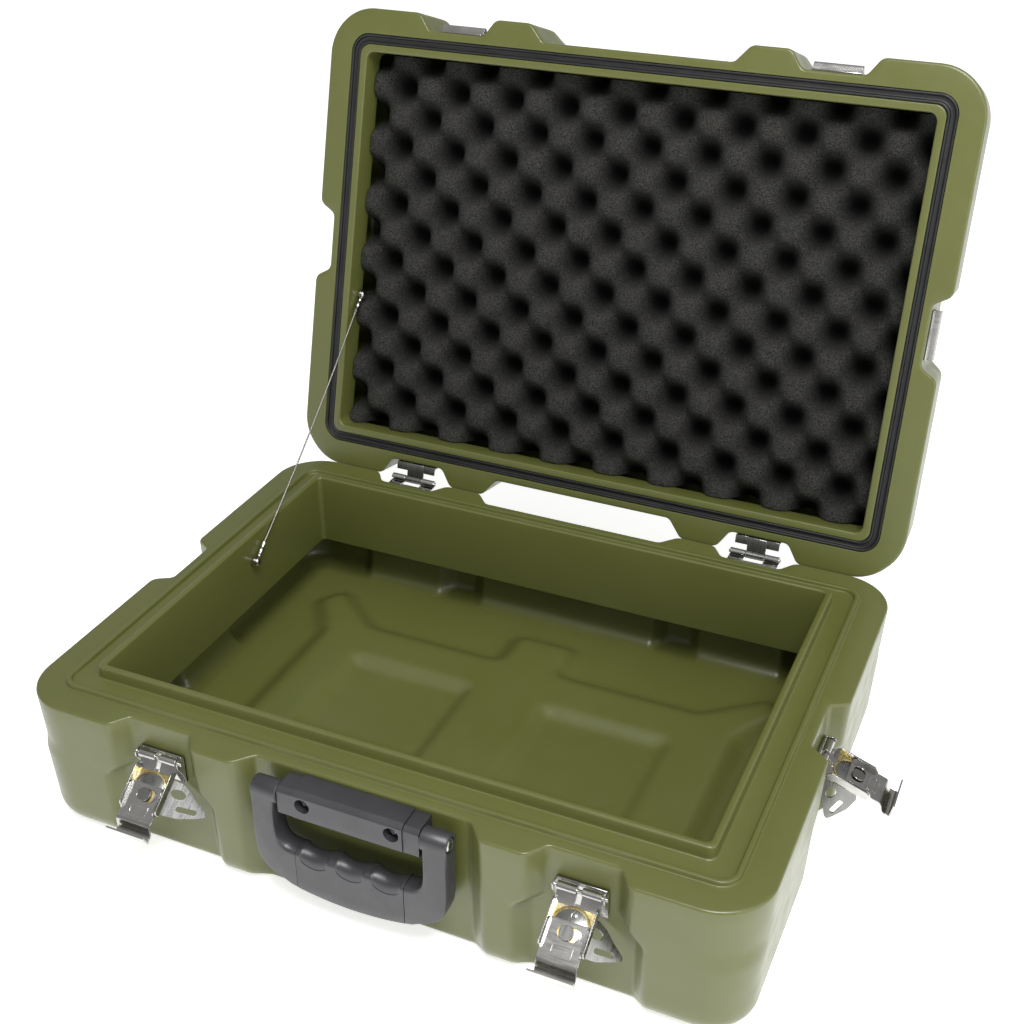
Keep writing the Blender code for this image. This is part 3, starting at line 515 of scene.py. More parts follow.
def edge_inset(rise, radius):
    """Inset of a rounded edge at a rise from its flat face."""
    if rise >= radius:
        return 0.0
    return radius - math.sqrt(radius**2 - (radius - rise) ** 2)


def smoothstep(value, low, high):
    t = min(1.0, max(0.0, (value - low) / (high - low)))
    return t * t * (3 - 2 * t)


def base_wall_outline(z, wall=0.0, fillet=0.0):
    """The base's outline at a height; wall moves it inwards, and fillet adds to both insets."""
    down = RIM - z
    widening = POCKET_WIDENING * smoothstep(down, 37 * MM, 53 * MM)
    edges = ((z, BASE_EDGE), (z, POCKET_EDGE), (down, RIM_EDGE))
    bottom, pocket_bottom, rim_edge = [0.0 if wall else edge_inset(*edge) for edge in edges]
    inset = wall + DRAFT * down + bottom + rim_edge + fillet
    floor_inset = wall + POCKET_DEPTH + DRAFT * max(0.0, down - 50 * MM)
    floor_inset += pocket_bottom + rim_edge + fillet
    return case_outline(inset, max(inset, floor_inset), widening)


def rim_radius(inset):
    """Corner radius of the rim's rings, tighter towards the opening."""
    stations = metres([(20.5, 16), (22.6, 14), (27.1, 10), (35.5, 7), (42, 6), (47.5, 4)])
    return float(np.interp(inset, *zip(*stations)))


def rim_rings(bm, corners, height, closed=False):
    """Rings that follow a profile of (inset, rise, rounding) in millimetres."""
    points = metres([corner[:2] for corner in corners])
    radii = [radius * MM for _, _, radius in corners]
    profile = rounded(points, radii, [3] * len(points), closed)
    rings = []
    for inset, rise in profile:
        rings.append(ring(bm, case_outline(inset, corner=rim_radius(inset)), height + rise))
    return rings


def cap_rings(bm, inset, z):
    """Flat rings that close a face from an inset towards the middle."""
    insets = [inset + 12 * MM, 60 * MM, 120 * MM, 190 * MM]
    return [ring(bm, case_outline(i, corner=8 * MM), z) for i in insets]


def build_base(bm):
    bottom = cap_rings(bm, 23 * MM, 0.0)[::-1]
    heights = [rise for rise, _ in arc_steps(BASE_EDGE, 9)]
    heights += [z * MM for z in (24, 34, 44, 54, 60, 62, 64.5, 67, 70, 73, 75.5, 78, 84, 94, 104)]
    heights += [RIM - rise for rise, _ in arc_steps(RIM_EDGE, 4)[::-1]]
    outside = [ring(bm, base_wall_outline(z), z) for z in heights]
    corners = [(20.6, 0, 0), (22.6, 0, 0.7), (23.2, 3.2, 0.9), (26.5, 3.2, 0.9), (27.1, 0, 0.7)]
    corners += [(34, 0, 1), (42, 0, 1.4), (42.3, 9.7, 1.6), (47.5, 9.7, 1.6), (47.5, -8, 1)]
    corners += [(47.5, -55, 1.6), (43.5, -55, 1.6), (42.8, -5, 0)]
    rim = rim_rings(bm, corners, RIM)
    inner = [110, 96, 78, 73, 70, 67, 63, 50, 38]
    inside = [ring(bm, base_wall_outline(z * MM, WALL), z * MM) for z in inner]
    fillet = 12 * MM
    for rise, out in arc_steps(fillet, 7)[::-1]:
        inside.append(ring(bm, base_wall_outline(FLOOR + rise, WALL, out), FLOOR + rise))
    under = base_wall_outline(FLOOR, WALL, fillet + 5 * MM)
    inside.append(ring(bm, under, FLOOR - 0.3 * MM))
    loft(bm, bottom + outside + rim + inside)
    fill(bm, bottom[0])


def inside_polygon(x, y, outline):
    """Mask of grid points inside a closed outline."""
    mask = np.zeros(x.shape, bool)
    for (x0, y0), (x1, y1) in zip(outline, outline[1:] + outline[:1]):
        if y0 == y1:
            continue
        crosses = (y >= min(y0, y1)) & (y < max(y0, y1))
        mask ^= crosses & (x < x0 + (y - y0) * (x1 - x0) / (y1 - y0))
    return mask


def blurred(field, cells):
    """Gaussian blur of a grid, with a standard deviation in cells."""
    reach = int(3 * cells)
    kernel = np.exp(-0.5 * (np.arange(-reach, reach + 1) / cells) ** 2)
    kernel /= kernel.sum()
    for axis in (0, 1):
        field = np.apply_along_axis(lambda row: np.convolve(row, kernel, "same"), axis, field)
    return field


def grid_faces(bm, verts):
    rows, columns = len(verts), len(verts[0])
    for i in range(rows - 1):
        for j in range(columns - 1):
            bm.faces.new((verts[i][j], verts[i + 1][j], verts[i + 1][j + 1], verts[i][j + 1]))


def build_floor(bm):
    """The moulded floor: a raised cross with four arms and two recessed panels, softly rounded."""
    pitch = 1.6 * MM
    half_x, half_y = 253.4 * MM, 177.6 * MM
    columns, rows = np.arange(-half_x, half_x, pitch), np.arange(-half_y, half_y, pitch)
    x, y = np.meshgrid(columns, rows, indexing="ij")
    quarter = [(187, 74), (214, 116), (198, 137), (170, 114), (148, 96), (28, 96), (26, 137)]
    ridge = metres(quarter)
    ridge += [(-u, v) for u, v in ridge[::-1]]
    ridge += [(-u, -v) for u, v in ridge]
    ridge_blur, panel_blur = 3.4, 2.8
    height = RIDGE_RISE * blurred(inside_polygon(x, y, ridge).astype(float), ridge_blur)
    near, far, half = 33.5 * MM, 138.5 * MM, 49.5 * MM
    for way in (-1, 1):
        recess = (way * x > near) & (way * x < far) & (abs(y) < half)
        height -= PANEL_DROP * blurred(recess.astype(float), panel_blur)
    verts = []
    for row in zip(x, y, height):
        verts.append([bm.verts.new((u, v, FLOOR + h)) for u, v, h in zip(*row)])
    grid_faces(bm, verts)


def lid_wall_outline(rise, wall=0.0, fillet=0.0):
    """The lid's outline at a rise from its rim, with its back edge pushed out by the overhang."""
    below_top = LID_HEIGHT - rise
    edges = ((below_top, LID_EDGE), (below_top, POCKET_EDGE), (rise, RIM_EDGE))
    top, pocket_top, rim_edge = [0.0 if wall else edge_inset(*edge) for edge in edges]
    inset = wall + DRAFT * rise + top + rim_edge + fillet
    floor_inset = wall + POCKET_DEPTH + pocket_top + rim_edge + fillet
    outline = case_outline(inset, max(inset, floor_inset))
    start, end = CASE_WIDTH / 2 - 12 * MM, CASE_WIDTH / 2
    shares = [min(1.0, max(0.0, (y - start) / (end - start))) for _, y in outline]
    return [(x, y + LID_OVERHANG * share) for (x, y), share in zip(outline, shares)]


def build_lid(bm):
    top = cap_rings(bm, 20 * MM, LID_RIM + LID_HEIGHT)
    rises = [LID_HEIGHT - rise for rise, _ in arc_steps(LID_EDGE, 8)]
    rises += [z * MM for z in (42, 30, 18, 8)]
    rises += [rise for rise, _ in arc_steps(RIM_EDGE, 4)[::-1]]
    outside = [ring(bm, lid_wall_outline(rise), LID_RIM + rise) for rise in rises]
    corners = [(20, 0, 0), (20.5, 0, 0.3), (20.5, 6.5, 0.4), (29.2, 6.5, 0.4), (29.2, 0, 0.8)]
    corners += [(35.5, 0, 1.4), (35.5, 25, 0.8), (30.5, 25, 0.8), (30.5, 12, 0)]
    rim = rim_rings(bm, corners, LID_RIM)
    inside = [ring(bm, lid_wall_outline(z * MM, WALL), LID_RIM + z * MM) for z in (12, 30, 50)]
    for rise, out in arc_steps(8 * MM, 4)[::-1]:
        level = LID_HEIGHT - WALL - rise
        inside.append(ring(bm, lid_wall_outline(level, WALL, out), LID_RIM + level))
    back = cap_rings(bm, 32 * MM, LID_RIM + LID_HEIGHT - WALL)
    solid(bm, top[::-1] + outside + rim + inside + back)


def build_gasket(bm):
    """Channel-section seal: two rounded ridges with a flat between them."""
    corners = [(20.8, 6.2, 0.2), (20.8, 0.5, 0.9), (22.7, 0.5, 0.8), (23.1, 3.0, 0.5)]
    corners += [(26.6, 3.0, 0.5), (27.0, 0.5, 0.8), (28.9, 0.5, 0.9), (28.9, 6.2, 0.2)]
    loft(bm, rim_rings(bm, corners, LID_RIM, closed=True), closed=True)


def build_foam(bm):
    """Convoluted foam: rounded peaks and deep round hollows on a square grid, with cut edges."""
    half_x = CASE_LENGTH / 2 - 36.8 * MM
    half_y = CASE_WIDTH / 2 - 36.5 * MM
    columns, rows, fine = 19, 13, 16
    count_x, count_y = columns * fine, rows * fine
    rng = np.random.default_rng(7)
    rough = blurred(rng.standard_normal((count_x + 1, count_y + 1)), 1.6)
    rough *= FOAM_GRAIN / rough.std()
    # Each vertex keeps its hollow depth, which the foam's look turns into painted shade in the
    # hollows.
    painted_shade_depth = bm.verts.layers.float.new("hollow")
    verts = []
    for i in range(count_x + 1):
        row = []
        for j in range(count_y + 1):
            wave = math.cos(math.pi * i / fine) * math.cos(math.pi * j / fine)
            hollow = (0.5 + 0.5 * wave) ** 2.0
            rise = FOAM_PEAK + FOAM_DEPTH * hollow + rough[i, j]
            x = half_x * (2 * i / count_x - 1)
            y = half_y * (2 * j / count_y - 1)
            vert = bm.verts.new((x, y, LID_RIM + rise))
            vert[painted_shade_depth] = hollow
            row.append(vert)
        verts.append(row)
    grid_faces(bm, verts)
    border = [verts[i][0] for i in range(count_x)]
    border += [verts[-1][j] for j in range(count_y)]
    border += [verts[i][-1] for i in range(count_x, 0, -1)]
    border += [verts[0][j] for j in range(count_y, 0, -1)]
    back = LID_RIM + LID_HEIGHT - WALL - 0.3 * MM
    rim = [bm.verts.new((vert.co.x, vert.co.y, back)) for vert in border]
    loft(bm, [border, rim])
    fill(bm, rim)


# The lid's pieces are built shut, and this turns them open.
OPENED = (
    Matrix.Translation((0, HINGE_Y, HINGE_Z))
    @ Matrix.Rotation(-LID_OPEN_ANGLE, 4, "X")
    @ Matrix.Translation((0, -HINGE_Y, -HINGE_Z))
)


def make_shells():
    new_piece("base_moulding", build_base, OLIVE, "base", ["base_shell"])
    new_piece("base_floor", build_floor, OLIVE, "base", ["base_shell"])
    new_piece("lid_moulding", build_lid, OLIVE, "lid", ["lid_shell"], OPENED)
    new_piece("gasket_seal", build_gasket, RUBBER, "lid", ["lid_gasket"], OPENED)
    foam = new_piece("foam_pad", build_foam, FOAM, "lid", ["lid_foam"], OPENED, smooth=60)


# Hinges


def leaf_outline(way, curled):
    """Hinge leaf in Y and Z: a plate with a shelf, or with a tongue curled round the pin."""
    wall = POCKET_FLOOR_Y + 0.3 * MM
    plate = wall + 1.5 * MM
    near, far, end = 1.75 * MM, 3.2 * MM, 26 * MM
    if curled:
        points = [(wall, end), (wall, near + 0.6 * MM), (wall + 0.6 * MM, near), (HINGE_Y, near)]
        turns = [math.radians(90 - 12 * i) for i in range(1, 23)]
        points += arc(HINGE_Y, near, turns) + arc(HINGE_Y, far, turns[::-1])
        points.append((HINGE_Y, far))
    else:
        points = [(wall, end), (wall, near), (wall + 7 * MM, near), (wall + 7 * MM, far)]
    points += [(plate + 1 * MM, far), (plate, far + 1 * MM), (plate, end)]
    return [(y, HINGE_Z + way * z) for y, z in points]


def make_leaf(name, centre, way, body, matrix):
    inner, outer = (8 * MM, 18.6 * MM) if way > 0 else (8.3 * MM, 20.8 * MM)

    def build(bm):
        spans = [(-outer, -inner, way < 0), (-inner, inner, way > 0), (inner, outer, way < 0)]
        for low, high, curled in spans:
            prism(bm, leaf_outline(way, curled), "X", centre + low, centre + high)

    # Painted reflection: the base leaf gets the brighter plated steel to stand in for the bright
    # sky it reflects, so the two leaves of one hinge differ in brightness.
    look = DARK_STEEL if way > 0 else CHROME
    new_piece(f"{name}_plate", build, look, body, [name], matrix, bevel=0.25 * MM)


def make_leaf_rivet(name, x, way, body, matrix):
    face = POCKET_FLOOR_Y + 1.8 * MM + 0.3 * MM
    origin = (x, face, HINGE_Z + way * 17 * MM)
    profile = [(3.4, 0.0), (3.35, 0.5), (2.9, 1.1), (1.9, 1.45), (0.6, 1.55)]
    build = partial(revolve, profile=profile, origin=origin, axis=(0, 1, 0), steps=24)
    new_piece(f"{name}_head", build, CHROME, body, [name], matrix)


def make_hinges():
    for side, centre in (("left", -LATCH_X), ("right", LATCH_X)):
        make_leaf(f"hinge_{side}_base_leaf", centre, -1, "base", None)
        make_leaf(f"hinge_{side}_lid_leaf", centre, 1, "lid", OPENED)
        pin = pin_builder(21.6, 0.4, (centre, HINGE_Y, HINGE_Z))
        new_piece(f"hinge_{side}_rod", pin, CHROME, "base", [f"hinge_{side}_pin"])
        for number, offset in enumerate((-13 * MM, 13 * MM), 1):
            make_leaf_rivet(f"hinge_{side}_base_rivet_{number}", centre + offset, -1, "base", None)
            make_leaf_rivet(f"hinge_{side}_lid_rivet_{number}", centre + offset, 1, "lid", OPENED)


# Latches. u runs across, out from the wall and along the arm, from the pin of a shut latch.


def across(bm, outline, low, high):
    """Extrudes an outline of (along, out) in millimetres across the latch."""
    prism(bm, [(-out * MM, along * MM) for along, out in outline], "X", low * MM, high * MM)


def side_sheets(bm, outline, half):
    """The same sheet along both side edges of a part of a half width."""
    across(bm, outline, -half, -half + SHEET)
    across(bm, outline, half - SHEET, half)


def plate(bm, outline, out, holes=()):
    """Flat plate with an outline of (u, along) in metres between two distances from the wall."""
    prism(bm, outline, "Y", -out[1] * MM, -out[0] * MM, holes)


def build_bracket(bm):
    """Base plate with a slight lip along its top edge and two cheeks that carry the pin."""
    wall, half = WALL_OUT / MM, BRACKET_HALF
    plate(bm, soft_rectangle(half, -20, 3.4, 1.5), (wall, wall + 1.3))
    lip = [(2.5, wall + 0.4), (2.5, wall + 2.6), (3.4, wall + 2.2), (3.4, wall + 0.4)]
    across(bm, lip, -half, half)
    cheek = [(3.4, wall), (3.6, 1.0), (2.4, 3.6), (-1.4, 3.6)]
    cheek += [(-5, 1.6), (-11, -2.0), (-20, -4.4), (-20, wall)]
    side_sheets(bm, rounded(cheek, [0.3, 1.5, 1.8, 1.8, 3, 3, 0.4, 0.3], [3] * 8), half)


def build_link(bm):
    """Link plate with its two knuckles and turned-in side flanges."""
    half = LINK_HALF
    turns = [math.radians(90 + 240 * i / 22) for i in range(23)]
    knuckle = [(12, 5), (8, 5), (4, 4.4), (2, 3.4)]
    knuckle += arc(0, 3.3, turns) + arc(0, 1.75, turns[::-1])
    knuckle += [(1.4, 1.9), (5, 3.3), (8.4, 4), (12, 4)]
    for low, high in ((-half, -1.8), (1.8, half)):
        across(bm, knuckle, low, high)
    end = 37.5
    outline = [(-half, 12), (-half, end), (half, end), (half, 12)]
    outline += [(1.8, 12), (1.8, 7), (-1.8, 7), (-1.8, 12)]
    plate(bm, soft_outline(outline, 0.4, 2), (4, 5), [circle(0, CAM_ALONG, 3.4 * MM)])
    flange = [(5.5, 4.5), (6.5, 1.5), (9, -1.3), (35.5, -1.3), (37.5, 0.2), (37.5, 4.5)]
    side_sheets(bm, flange, half)


def build_liner(bm):
    """Plated backing plate with the pressed ring that guides the cam disc."""
    half = LINK_HALF - SHEET - 0.2
    outline = soft_rectangle(half, 9.6, 36.8, 1.2)
    plate(bm, outline, (3.75, 3.96), [circle(0, CAM_ALONG, 3.4 * MM)])
    rings = []
    for radius, out in ((11.9, 3.8), (12.1, 3.0), (12.6, 2.75), (13.1, 3.0), (13.5, 3.8)):
        points = circle(0, CAM_ALONG, radius * MM, 56)
        rings.append([bm.verts.new((u, -out * MM, along)) for u, along in points])
    loft(bm, rings, closed=True)


def build_arm(bm):
    """Hook arm: slotted plate with a pressed pad, side flanges, a step and a hook leaning back."""
    half = ARM_HALF
    slot = capsule(1.9 * MM, RIVET_ALONG, 3.6 * MM, 4.4 * MM)
    plate(bm, soft_rectangle(half, 19, 44, 0.6, 3), (1.5, 2.6), [slot])
    inner = soft_rectangle(5.9, 35, 40.4, 1.2)
    plate(bm, soft_rectangle(7.5, 33.4, 42, 1.8), (1.15, 1.55), [inner])
    path = [(43.9, 2.05), (45.5, 2.05), (47, 2.6), (48.3, 3.9), (49.6, 6.2), (50.8, 7.6)]
    path += [(52.2, 8.2), (55.2, 8.2), (56.4, 7.5), (56.5, 6.5), (55.1, -3)]
    across(bm, sheet_outline(path, SHEET), -half, half)
    lean = [(55.95, 6.8), (57.15, 6.8), (55.75, -3.3), (54.5, -3.3)]
    across(bm, lean, -HOOK_HALF, HOOK_HALF)
    flange = [(19.5, 2.4), (19.5, 0.6), (21.5, -1.5), (35, -1.5), (38, -0.4), (40, 2.4)]
    side_sheets(bm, flange, half)


def build_cam(bm):
    """Cam disc with its drive rivet, spindle, cross pin and a small peened rivet."""

    def turned_part(profile, u, along):
        heights = [(radius, -out) for radius, out in profile]
        revolve(bm, heights, (u * MM, 0, along * MM), (0, 1, 0), 40)

    turned_part([(11.3, 3.7), (11.5, 3.5), (11.5, 3.1), (11.2, 2.9)], 0, 22)
    turned_part([(1.6, 3.3), (1.6, 1.0)], 0, 26.5)
    turned_part([(4.7, 1.35), (4.9, 1.1), (4.9, 0.2), (4.7, 0.0)], 0, 26.5)
    turned_part([(3.0, 11.4), (3.0, 3.2)], 0, 22)
    turned_part([(1.5, 2.95), (1.5, 2.85), (1.1, 2.75)], 0.8, 14.6)
    turned_part([(2.2, 2.95), (2.4, 2.85), (2.0, 2.78), (1.7, 2.9)], 0.8, 14.6)
    revolve(bm, [(1.0, 13), (1.0, 31)], (0, -FOLD_AXIS_OUT, 0), (0, 0, 1), 16)


def build_bushing(bm):
    """Plated washer under the drive rivet, seen through the arm's slot."""
    profile = [(2.0, -2.85), (7.0, -2.85), (7.2, -2.78), (7.2, -2.72), (7.0, -2.66), (2.0, -2.66)]
    revolve(bm, profile, (0, 0, RIVET_ALONG), (0, 1, 0), 36)


def build_wing(bm):
    """Wing key round its fold axis, with an oval and a slanted slot."""
    outline = [(3.6, -5), (8.2, -3.4), (8.2, 3.4), (3.6, 5), (3.6, 9.5), (12, 13), (24, 11.4)]
    outline += [(36, 6.6), (41.6, 3.8), (40.4, 1.2), (32, -3.8), (24.5, -9.2), (17, -12.4)]
    outline += [(8, -12.4), (3.6, -9)]
    points = soft_outline(outline, 3, 5)
    oval = [(17.5 * MM + 5.6 * MM * c, -4.2 * MM + 3.3 * MM * s) for c, s in circle(0, 0, 1, 28)]
    slot = capsule(27 * MM, 4.4 * MM, 5.6 * MM, 1.9 * MM, math.radians(-8))
    prism(bm, points, "Y", -0.6 * MM, 0.6 * MM, [oval, slot])
    tube = soft_outline([(-2.1, -2.1), (5, -2.1), (5, 0.7), (2, 2.1), (-2.1, 2.1)], 1.6)
    for low, high in ((-8.8, -5.2), (5.2, 8.8)):
        prism(bm, tube, "Z", low * MM, high * MM, [circle(0, 0, 1.3 * MM, 20)])


def build_strike(bm):
    """Strike plate with its rolled bar, lifted to the bar's distance from the pin."""
    wall, centre, lift = -5.7, -2.0, 41.7
    points = [(-9, wall), (-9, wall + 0.9), (-8.7, wall + 1.2), (-3.6, wall + 1.2)]
    turns = [math.radians(-62 + 12.4 * i) for i in range(11)]
    points += [(3 * math.sin(a), centre + 3 * math.cos(a)) for a in turns]
    points += [(3.6, wall + 1.2), (8.7, wall + 1.2), (9, wall + 0.9), (9, wall)]
    across(bm, [(along + lift, out) for along, out in points], -19.2, 19.2)


def make_latch(name, mount, hang, fold):
    """One latch on its mount; hang and fold are the degrees its link and wing are turned by."""
    pivot = mount @ Matrix.Rotation(math.radians(180 - hang), 4, "X")
    hinge = Matrix.Translation((0, -FOLD_AXIS_OUT, CAM_ALONG))
    key = pivot @ hinge @ Matrix.Rotation(math.radians(-fold), 4, "Z")

    def part(suffix, node, build, look, body, matrix, bevel=0.25 * MM):
        new_piece(f"{name}_{suffix}", build, look, body, [f"{name}_{node}"], matrix, bevel)

    pin = pin_builder(PIN_HALF, 0.3, (0, 0, 0))
    part("cheeks", "bracket", build_bracket, STAINLESS, "base", mount)
    part("rod", "pin", pin, CHROME, "base", mount, 0)
    part("link_plate", "link", build_link, STAINLESS, f"{name}_link", pivot)
    part("liner", "link", build_liner, ZINC, f"{name}_link", pivot, 0)
    part("hook_plate", "hook_arm", build_arm, STAINLESS, f"{name}_arm", pivot)
    part("cam_disc", "cam", build_cam, DARK_STEEL, f"{name}_cam", pivot, 0)
    part("cam_bushing", "cam", build_bushing, ZINC, f"{name}_cam", pivot, 0)
    part("wing_key", "wing", build_wing, DARK_STEEL, f"{name}_wing", key)
    part("strike_bar", "strike", build_strike, STAINLESS, "lid", OPENED @ mount)


def make_latches():
    height = RIM - LATCH_DROP
    front = -(POCKET_FLOOR_Y + LATCH_STANDOFF)
    side = POCKET_FLOOR_X + LATCH_STANDOFF
    for name, place, turn, hang, fold in (
        ("latch_front_left", (-LATCH_X, front, height), 0, 53.5, 35),
        ("latch_front_right", (LATCH_X, front, height), 0, 58.6, 43),
        ("latch_right", (side, 0, height), 90, 70, 88),
        ("latch_left", (-side, 0, height), -90, 58, 35),
    ):
        mount = Matrix.Translation(place) @ Matrix.Rotation(math.radians(turn), 4, "Z")
        make_latch(name, mount, hang, fold)


# Handle


def cross_recess(half_length, half_width):
    a, b = half_length * MM, half_width * MM
    quarter = [(a, -b), (a, b), (b, b)]
    points = []
    for turn in range(4):
        points += [turned(point, turn) for point in quarter]
    return points


def screw_head(bm, radius, thickness, recess=2.4):
    """Domed head about +Z with a cross recess in its crown, in millimetres."""
    r, t = radius * MM, thickness * MM
    prism(bm, circle(0, 0, r, 40), "Z", 0.0, 0.25 * t)
    dome = [(0.0, 0.2), (0.03, 0.42), (0.1, 0.64), (0.22, 0.83), (0.36, 0.96), (0.45, 1.0)]
    rings = []
    for shrink, rise in dome:
        points = circle(0, 0, r * (1 - shrink), 40)
        rings.append(ring(bm, points, t * rise))
    loft(bm, rings)
    cut = cross_recess(recess, 0.42)
    mouth = ring(bm, cut, t)
    floor = ring(bm, cut, t * 0.35)
    fill(bm, rings[-1], mouth)
    loft(bm, [mouth, floor])


def facing(way):
    """Rotation that turns +Z to a direction."""
    return Vector(way).to_track_quat("Z", "Y").to_matrix().to_4x4()


def make_screw(name, node, build, body, place, way):
    """A screw at a place, its head turned to a direction."""
    seat = Matrix.Translation(place) @ facing(way)
    new_piece(name, build, CHROME, body, [node], seat)


def bracket_outline(front, top, low):
    """Section of the handle's bar in Y and Z with a broken front edge and a tucked-in foot."""
    wall = -(POCKET_FLOOR_Y + 0.3 * MM)
    points = [(wall, top * MM), (-201.8 * MM, top * MM), (front * MM, (top - 2.6) * MM)]
    foot = (low - 1.4) * MM
    points += [(front * MM, low * MM), ((front + 2) * MM, foot), (wall, foot)]
    outline = rounded(points, [r * MM for r in (0.3, 1.6, 1.2, 1, 1, 0.3)], [3] * 6)
    return [(y, RIM + z) for y, z in outline]


def build_bar(bm):
    """Bar in three blocks on a core; the middle one stands proud and takes the screw holes."""
    for low, high in ((-52.6, -41.2), (41.2, 52.6)):
        prism(bm, bracket_outline(-205.1, -3.6, -24.4), "X", low * MM, high * MM)
    prism(bm, bracket_outline(-206, -2.4, -23.8), "X", -40.9 * MM, 40.9 * MM)
    prism(bm, bracket_outline(-203.8, -4.9, -23.5), "X", -50 * MM, 50 * MM)


def build_hole_tool(bm):
    x, y, z = BAR_SCREW
    for way in (-1, 1):
        prism(bm, circle(way * x, z, 5.6 * MM, 40), "Y", -212 * MM, y)


def cut(piece, build_tool):
    """Cuts a tool out of a piece for good, and removes the tool."""
    tool = add_object("cutting_tool", built_mesh("cutting_tool", build_tool))
    boolean = piece.modifiers.new("Cut", "BOOLEAN")
    boolean.operation = "DIFFERENCE"
    boolean.solver = "EXACT"
    boolean.use_self = True
    boolean.object = tool
    with bpy.context.temp_override(object=piece, active_object=piece):
        bpy.ops.object.modifier_apply(modifier=boolean.name)
    bpy.data.objects.remove(tool)


def grip_bottom(x):
    return -91.5 * MM + 11 * MM * (x / (66 * MM)) ** 2


def section_ring(bm, x, top, crease, step, bottom):
    """One section of the grip in Y and Z; the top is a round saddle between its two creases."""
    front, back = -207.6 * MM, -191 * MM
    middle = (front + back) / 2
    half = (back - front) / 2
    points = [(front + 2.2 * MM, bottom), (front + 0.6 * MM, bottom + 0.7 * MM)]
    points += [(front, bottom + 2.4 * MM)]
    points += [(front, bottom + (crease - bottom) * s) for s in (0.3, 0.6, 0.85, 0.97, 1.0)]
    rise = top - crease
    for i in range(15):
        turn = math.pi * (1 - i / 14)
        y = middle + (half - step) * math.cos(turn)
        points.append((y, crease + rise * math.sin(turn) ** 0.8))
    points += [(back, crease + (bottom - crease) * s) for s in (0.0, 0.03, 0.15, 0.4, 0.7)]
    points += [(back, bottom + 2.4 * MM)]
    points += [(back - 0.6 * MM, bottom + 0.7 * MM), (back - 2.2 * MM, bottom)]
    return [bm.verts.new((x, y, RIM + z)) for y, z in points]


def finger_share(x):
    """0 between the finger hollows, 1 in the middle of each."""
    away = min(abs(x - centre) for centre in (-27 * MM, 0.4 * MM, 27.6 * MM)) / (10.8 * MM)
    return max(0.0, 1 - away * away)


def build_grip(bm):
    """Grip lofted between its seams, with three finger hollows along the top."""
    seam = SEAM_X - 0.2 * MM
    count = 164
    rings = []
    for i in range(count + 1):
        x = seam * (2 * i / count - 1)
        share = finger_share(x)
        top = -53.0 * MM - 1.9 * MM * share * share
        crease = -57.2 * MM - 7.0 * MM * math.sqrt(share)
        step = 0.4 * MM * smoothstep(share, 0, 0.3)
        rings.append(section_ring(bm, x, top, crease, step, grip_bottom(x)))
    solid(bm, rings)


def arm_path(way):
    """Stations down an arm: pairs of an outer and an inner point in X and height over the rim."""
    seam = SEAM_X + 0.2 * MM
    outer = [(72.5, -11.4), (72.5, -30), (72.5, -45), (72.2, -56), (71, -64.5)]
    outer += [(68.6, -71), (64.6, -76.2), (59, -79.9), (52, -83), (46, -86.1)]
    inner = [(55.5, -11.4), (55.5, -25), (55.5, -36), (55.2, -41), (54.3, -45.5)]
    inner += [(52.4, -49), (50, -51.2), (47.5, -52.4), (44.6, -53), (42.8, -53.2)]
    pairs = [(Vector(a) * MM, Vector(b) * MM) for a, b in zip(outer, inner)]
    pairs.append((Vector((seam, grip_bottom(seam))), Vector((seam, -53.3 * MM))))
    return [(Vector((way * a.x, a.y)), Vector((way * b.x, b.y))) for a, b in pairs]


def build_handle_arm(bm, way):
    """Arm with its barrel: flat-faced above, rounded on its inner side towards the grip."""
    front, back = -207.4 * MM, -191.3 * MM
    middle, half = (front + back) / 2, (back - front) / 2
    stations = arm_path(way)
    rings = []
    for number, (outer, inner) in enumerate(stations):
        roundness = smoothstep(number, 2.5, 6.5)
        nose = (1.8 + 2.2 * roundness) * MM
        width = (inner - outer).length
        reach = (inner - outer) / width
        points = [(0.0, front + 2.4 * MM), (0.7 * MM, front + 0.6 * MM), (2.4 * MM, front)]
        points += [(width - nose - 0.8 * MM, front), (width - nose, front)]
        for i in range(11):
            turn = math.pi * (1 - i / 10)
            share = math.sin(turn) ** (0.35 + 0.45 * roundness)
            points.append((width - nose + nose * share, middle + half * math.cos(turn)))
        points += [(width - nose, back), (width - nose - 0.8 * MM, back), (2.4 * MM, back)]
        points += [(0.7 * MM, back - 0.6 * MM), (0.0, back - 2.4 * MM)]
        loop = []
        for along, y in points:
            place = outer + reach * along
            loop.append(bm.verts.new((place.x, y, RIM + place.y)))
        rings.append(loop)
    solid(bm, rings)
    barrel = [(7.4, 53.1), (8.1, 53.8), (8.1, 71.4), (7.2, 72.5)]
    revolve(bm, barrel, (0, HANDLE_Y, HANDLE_Z), (way, 0, 0), 48)


def build_seat_tool(bm, way):
    revolve(bm, [(5.6, 69.6), (5.6, 76)], (0, HANDLE_Y, HANDLE_Z), (way, 0, 0), 48)


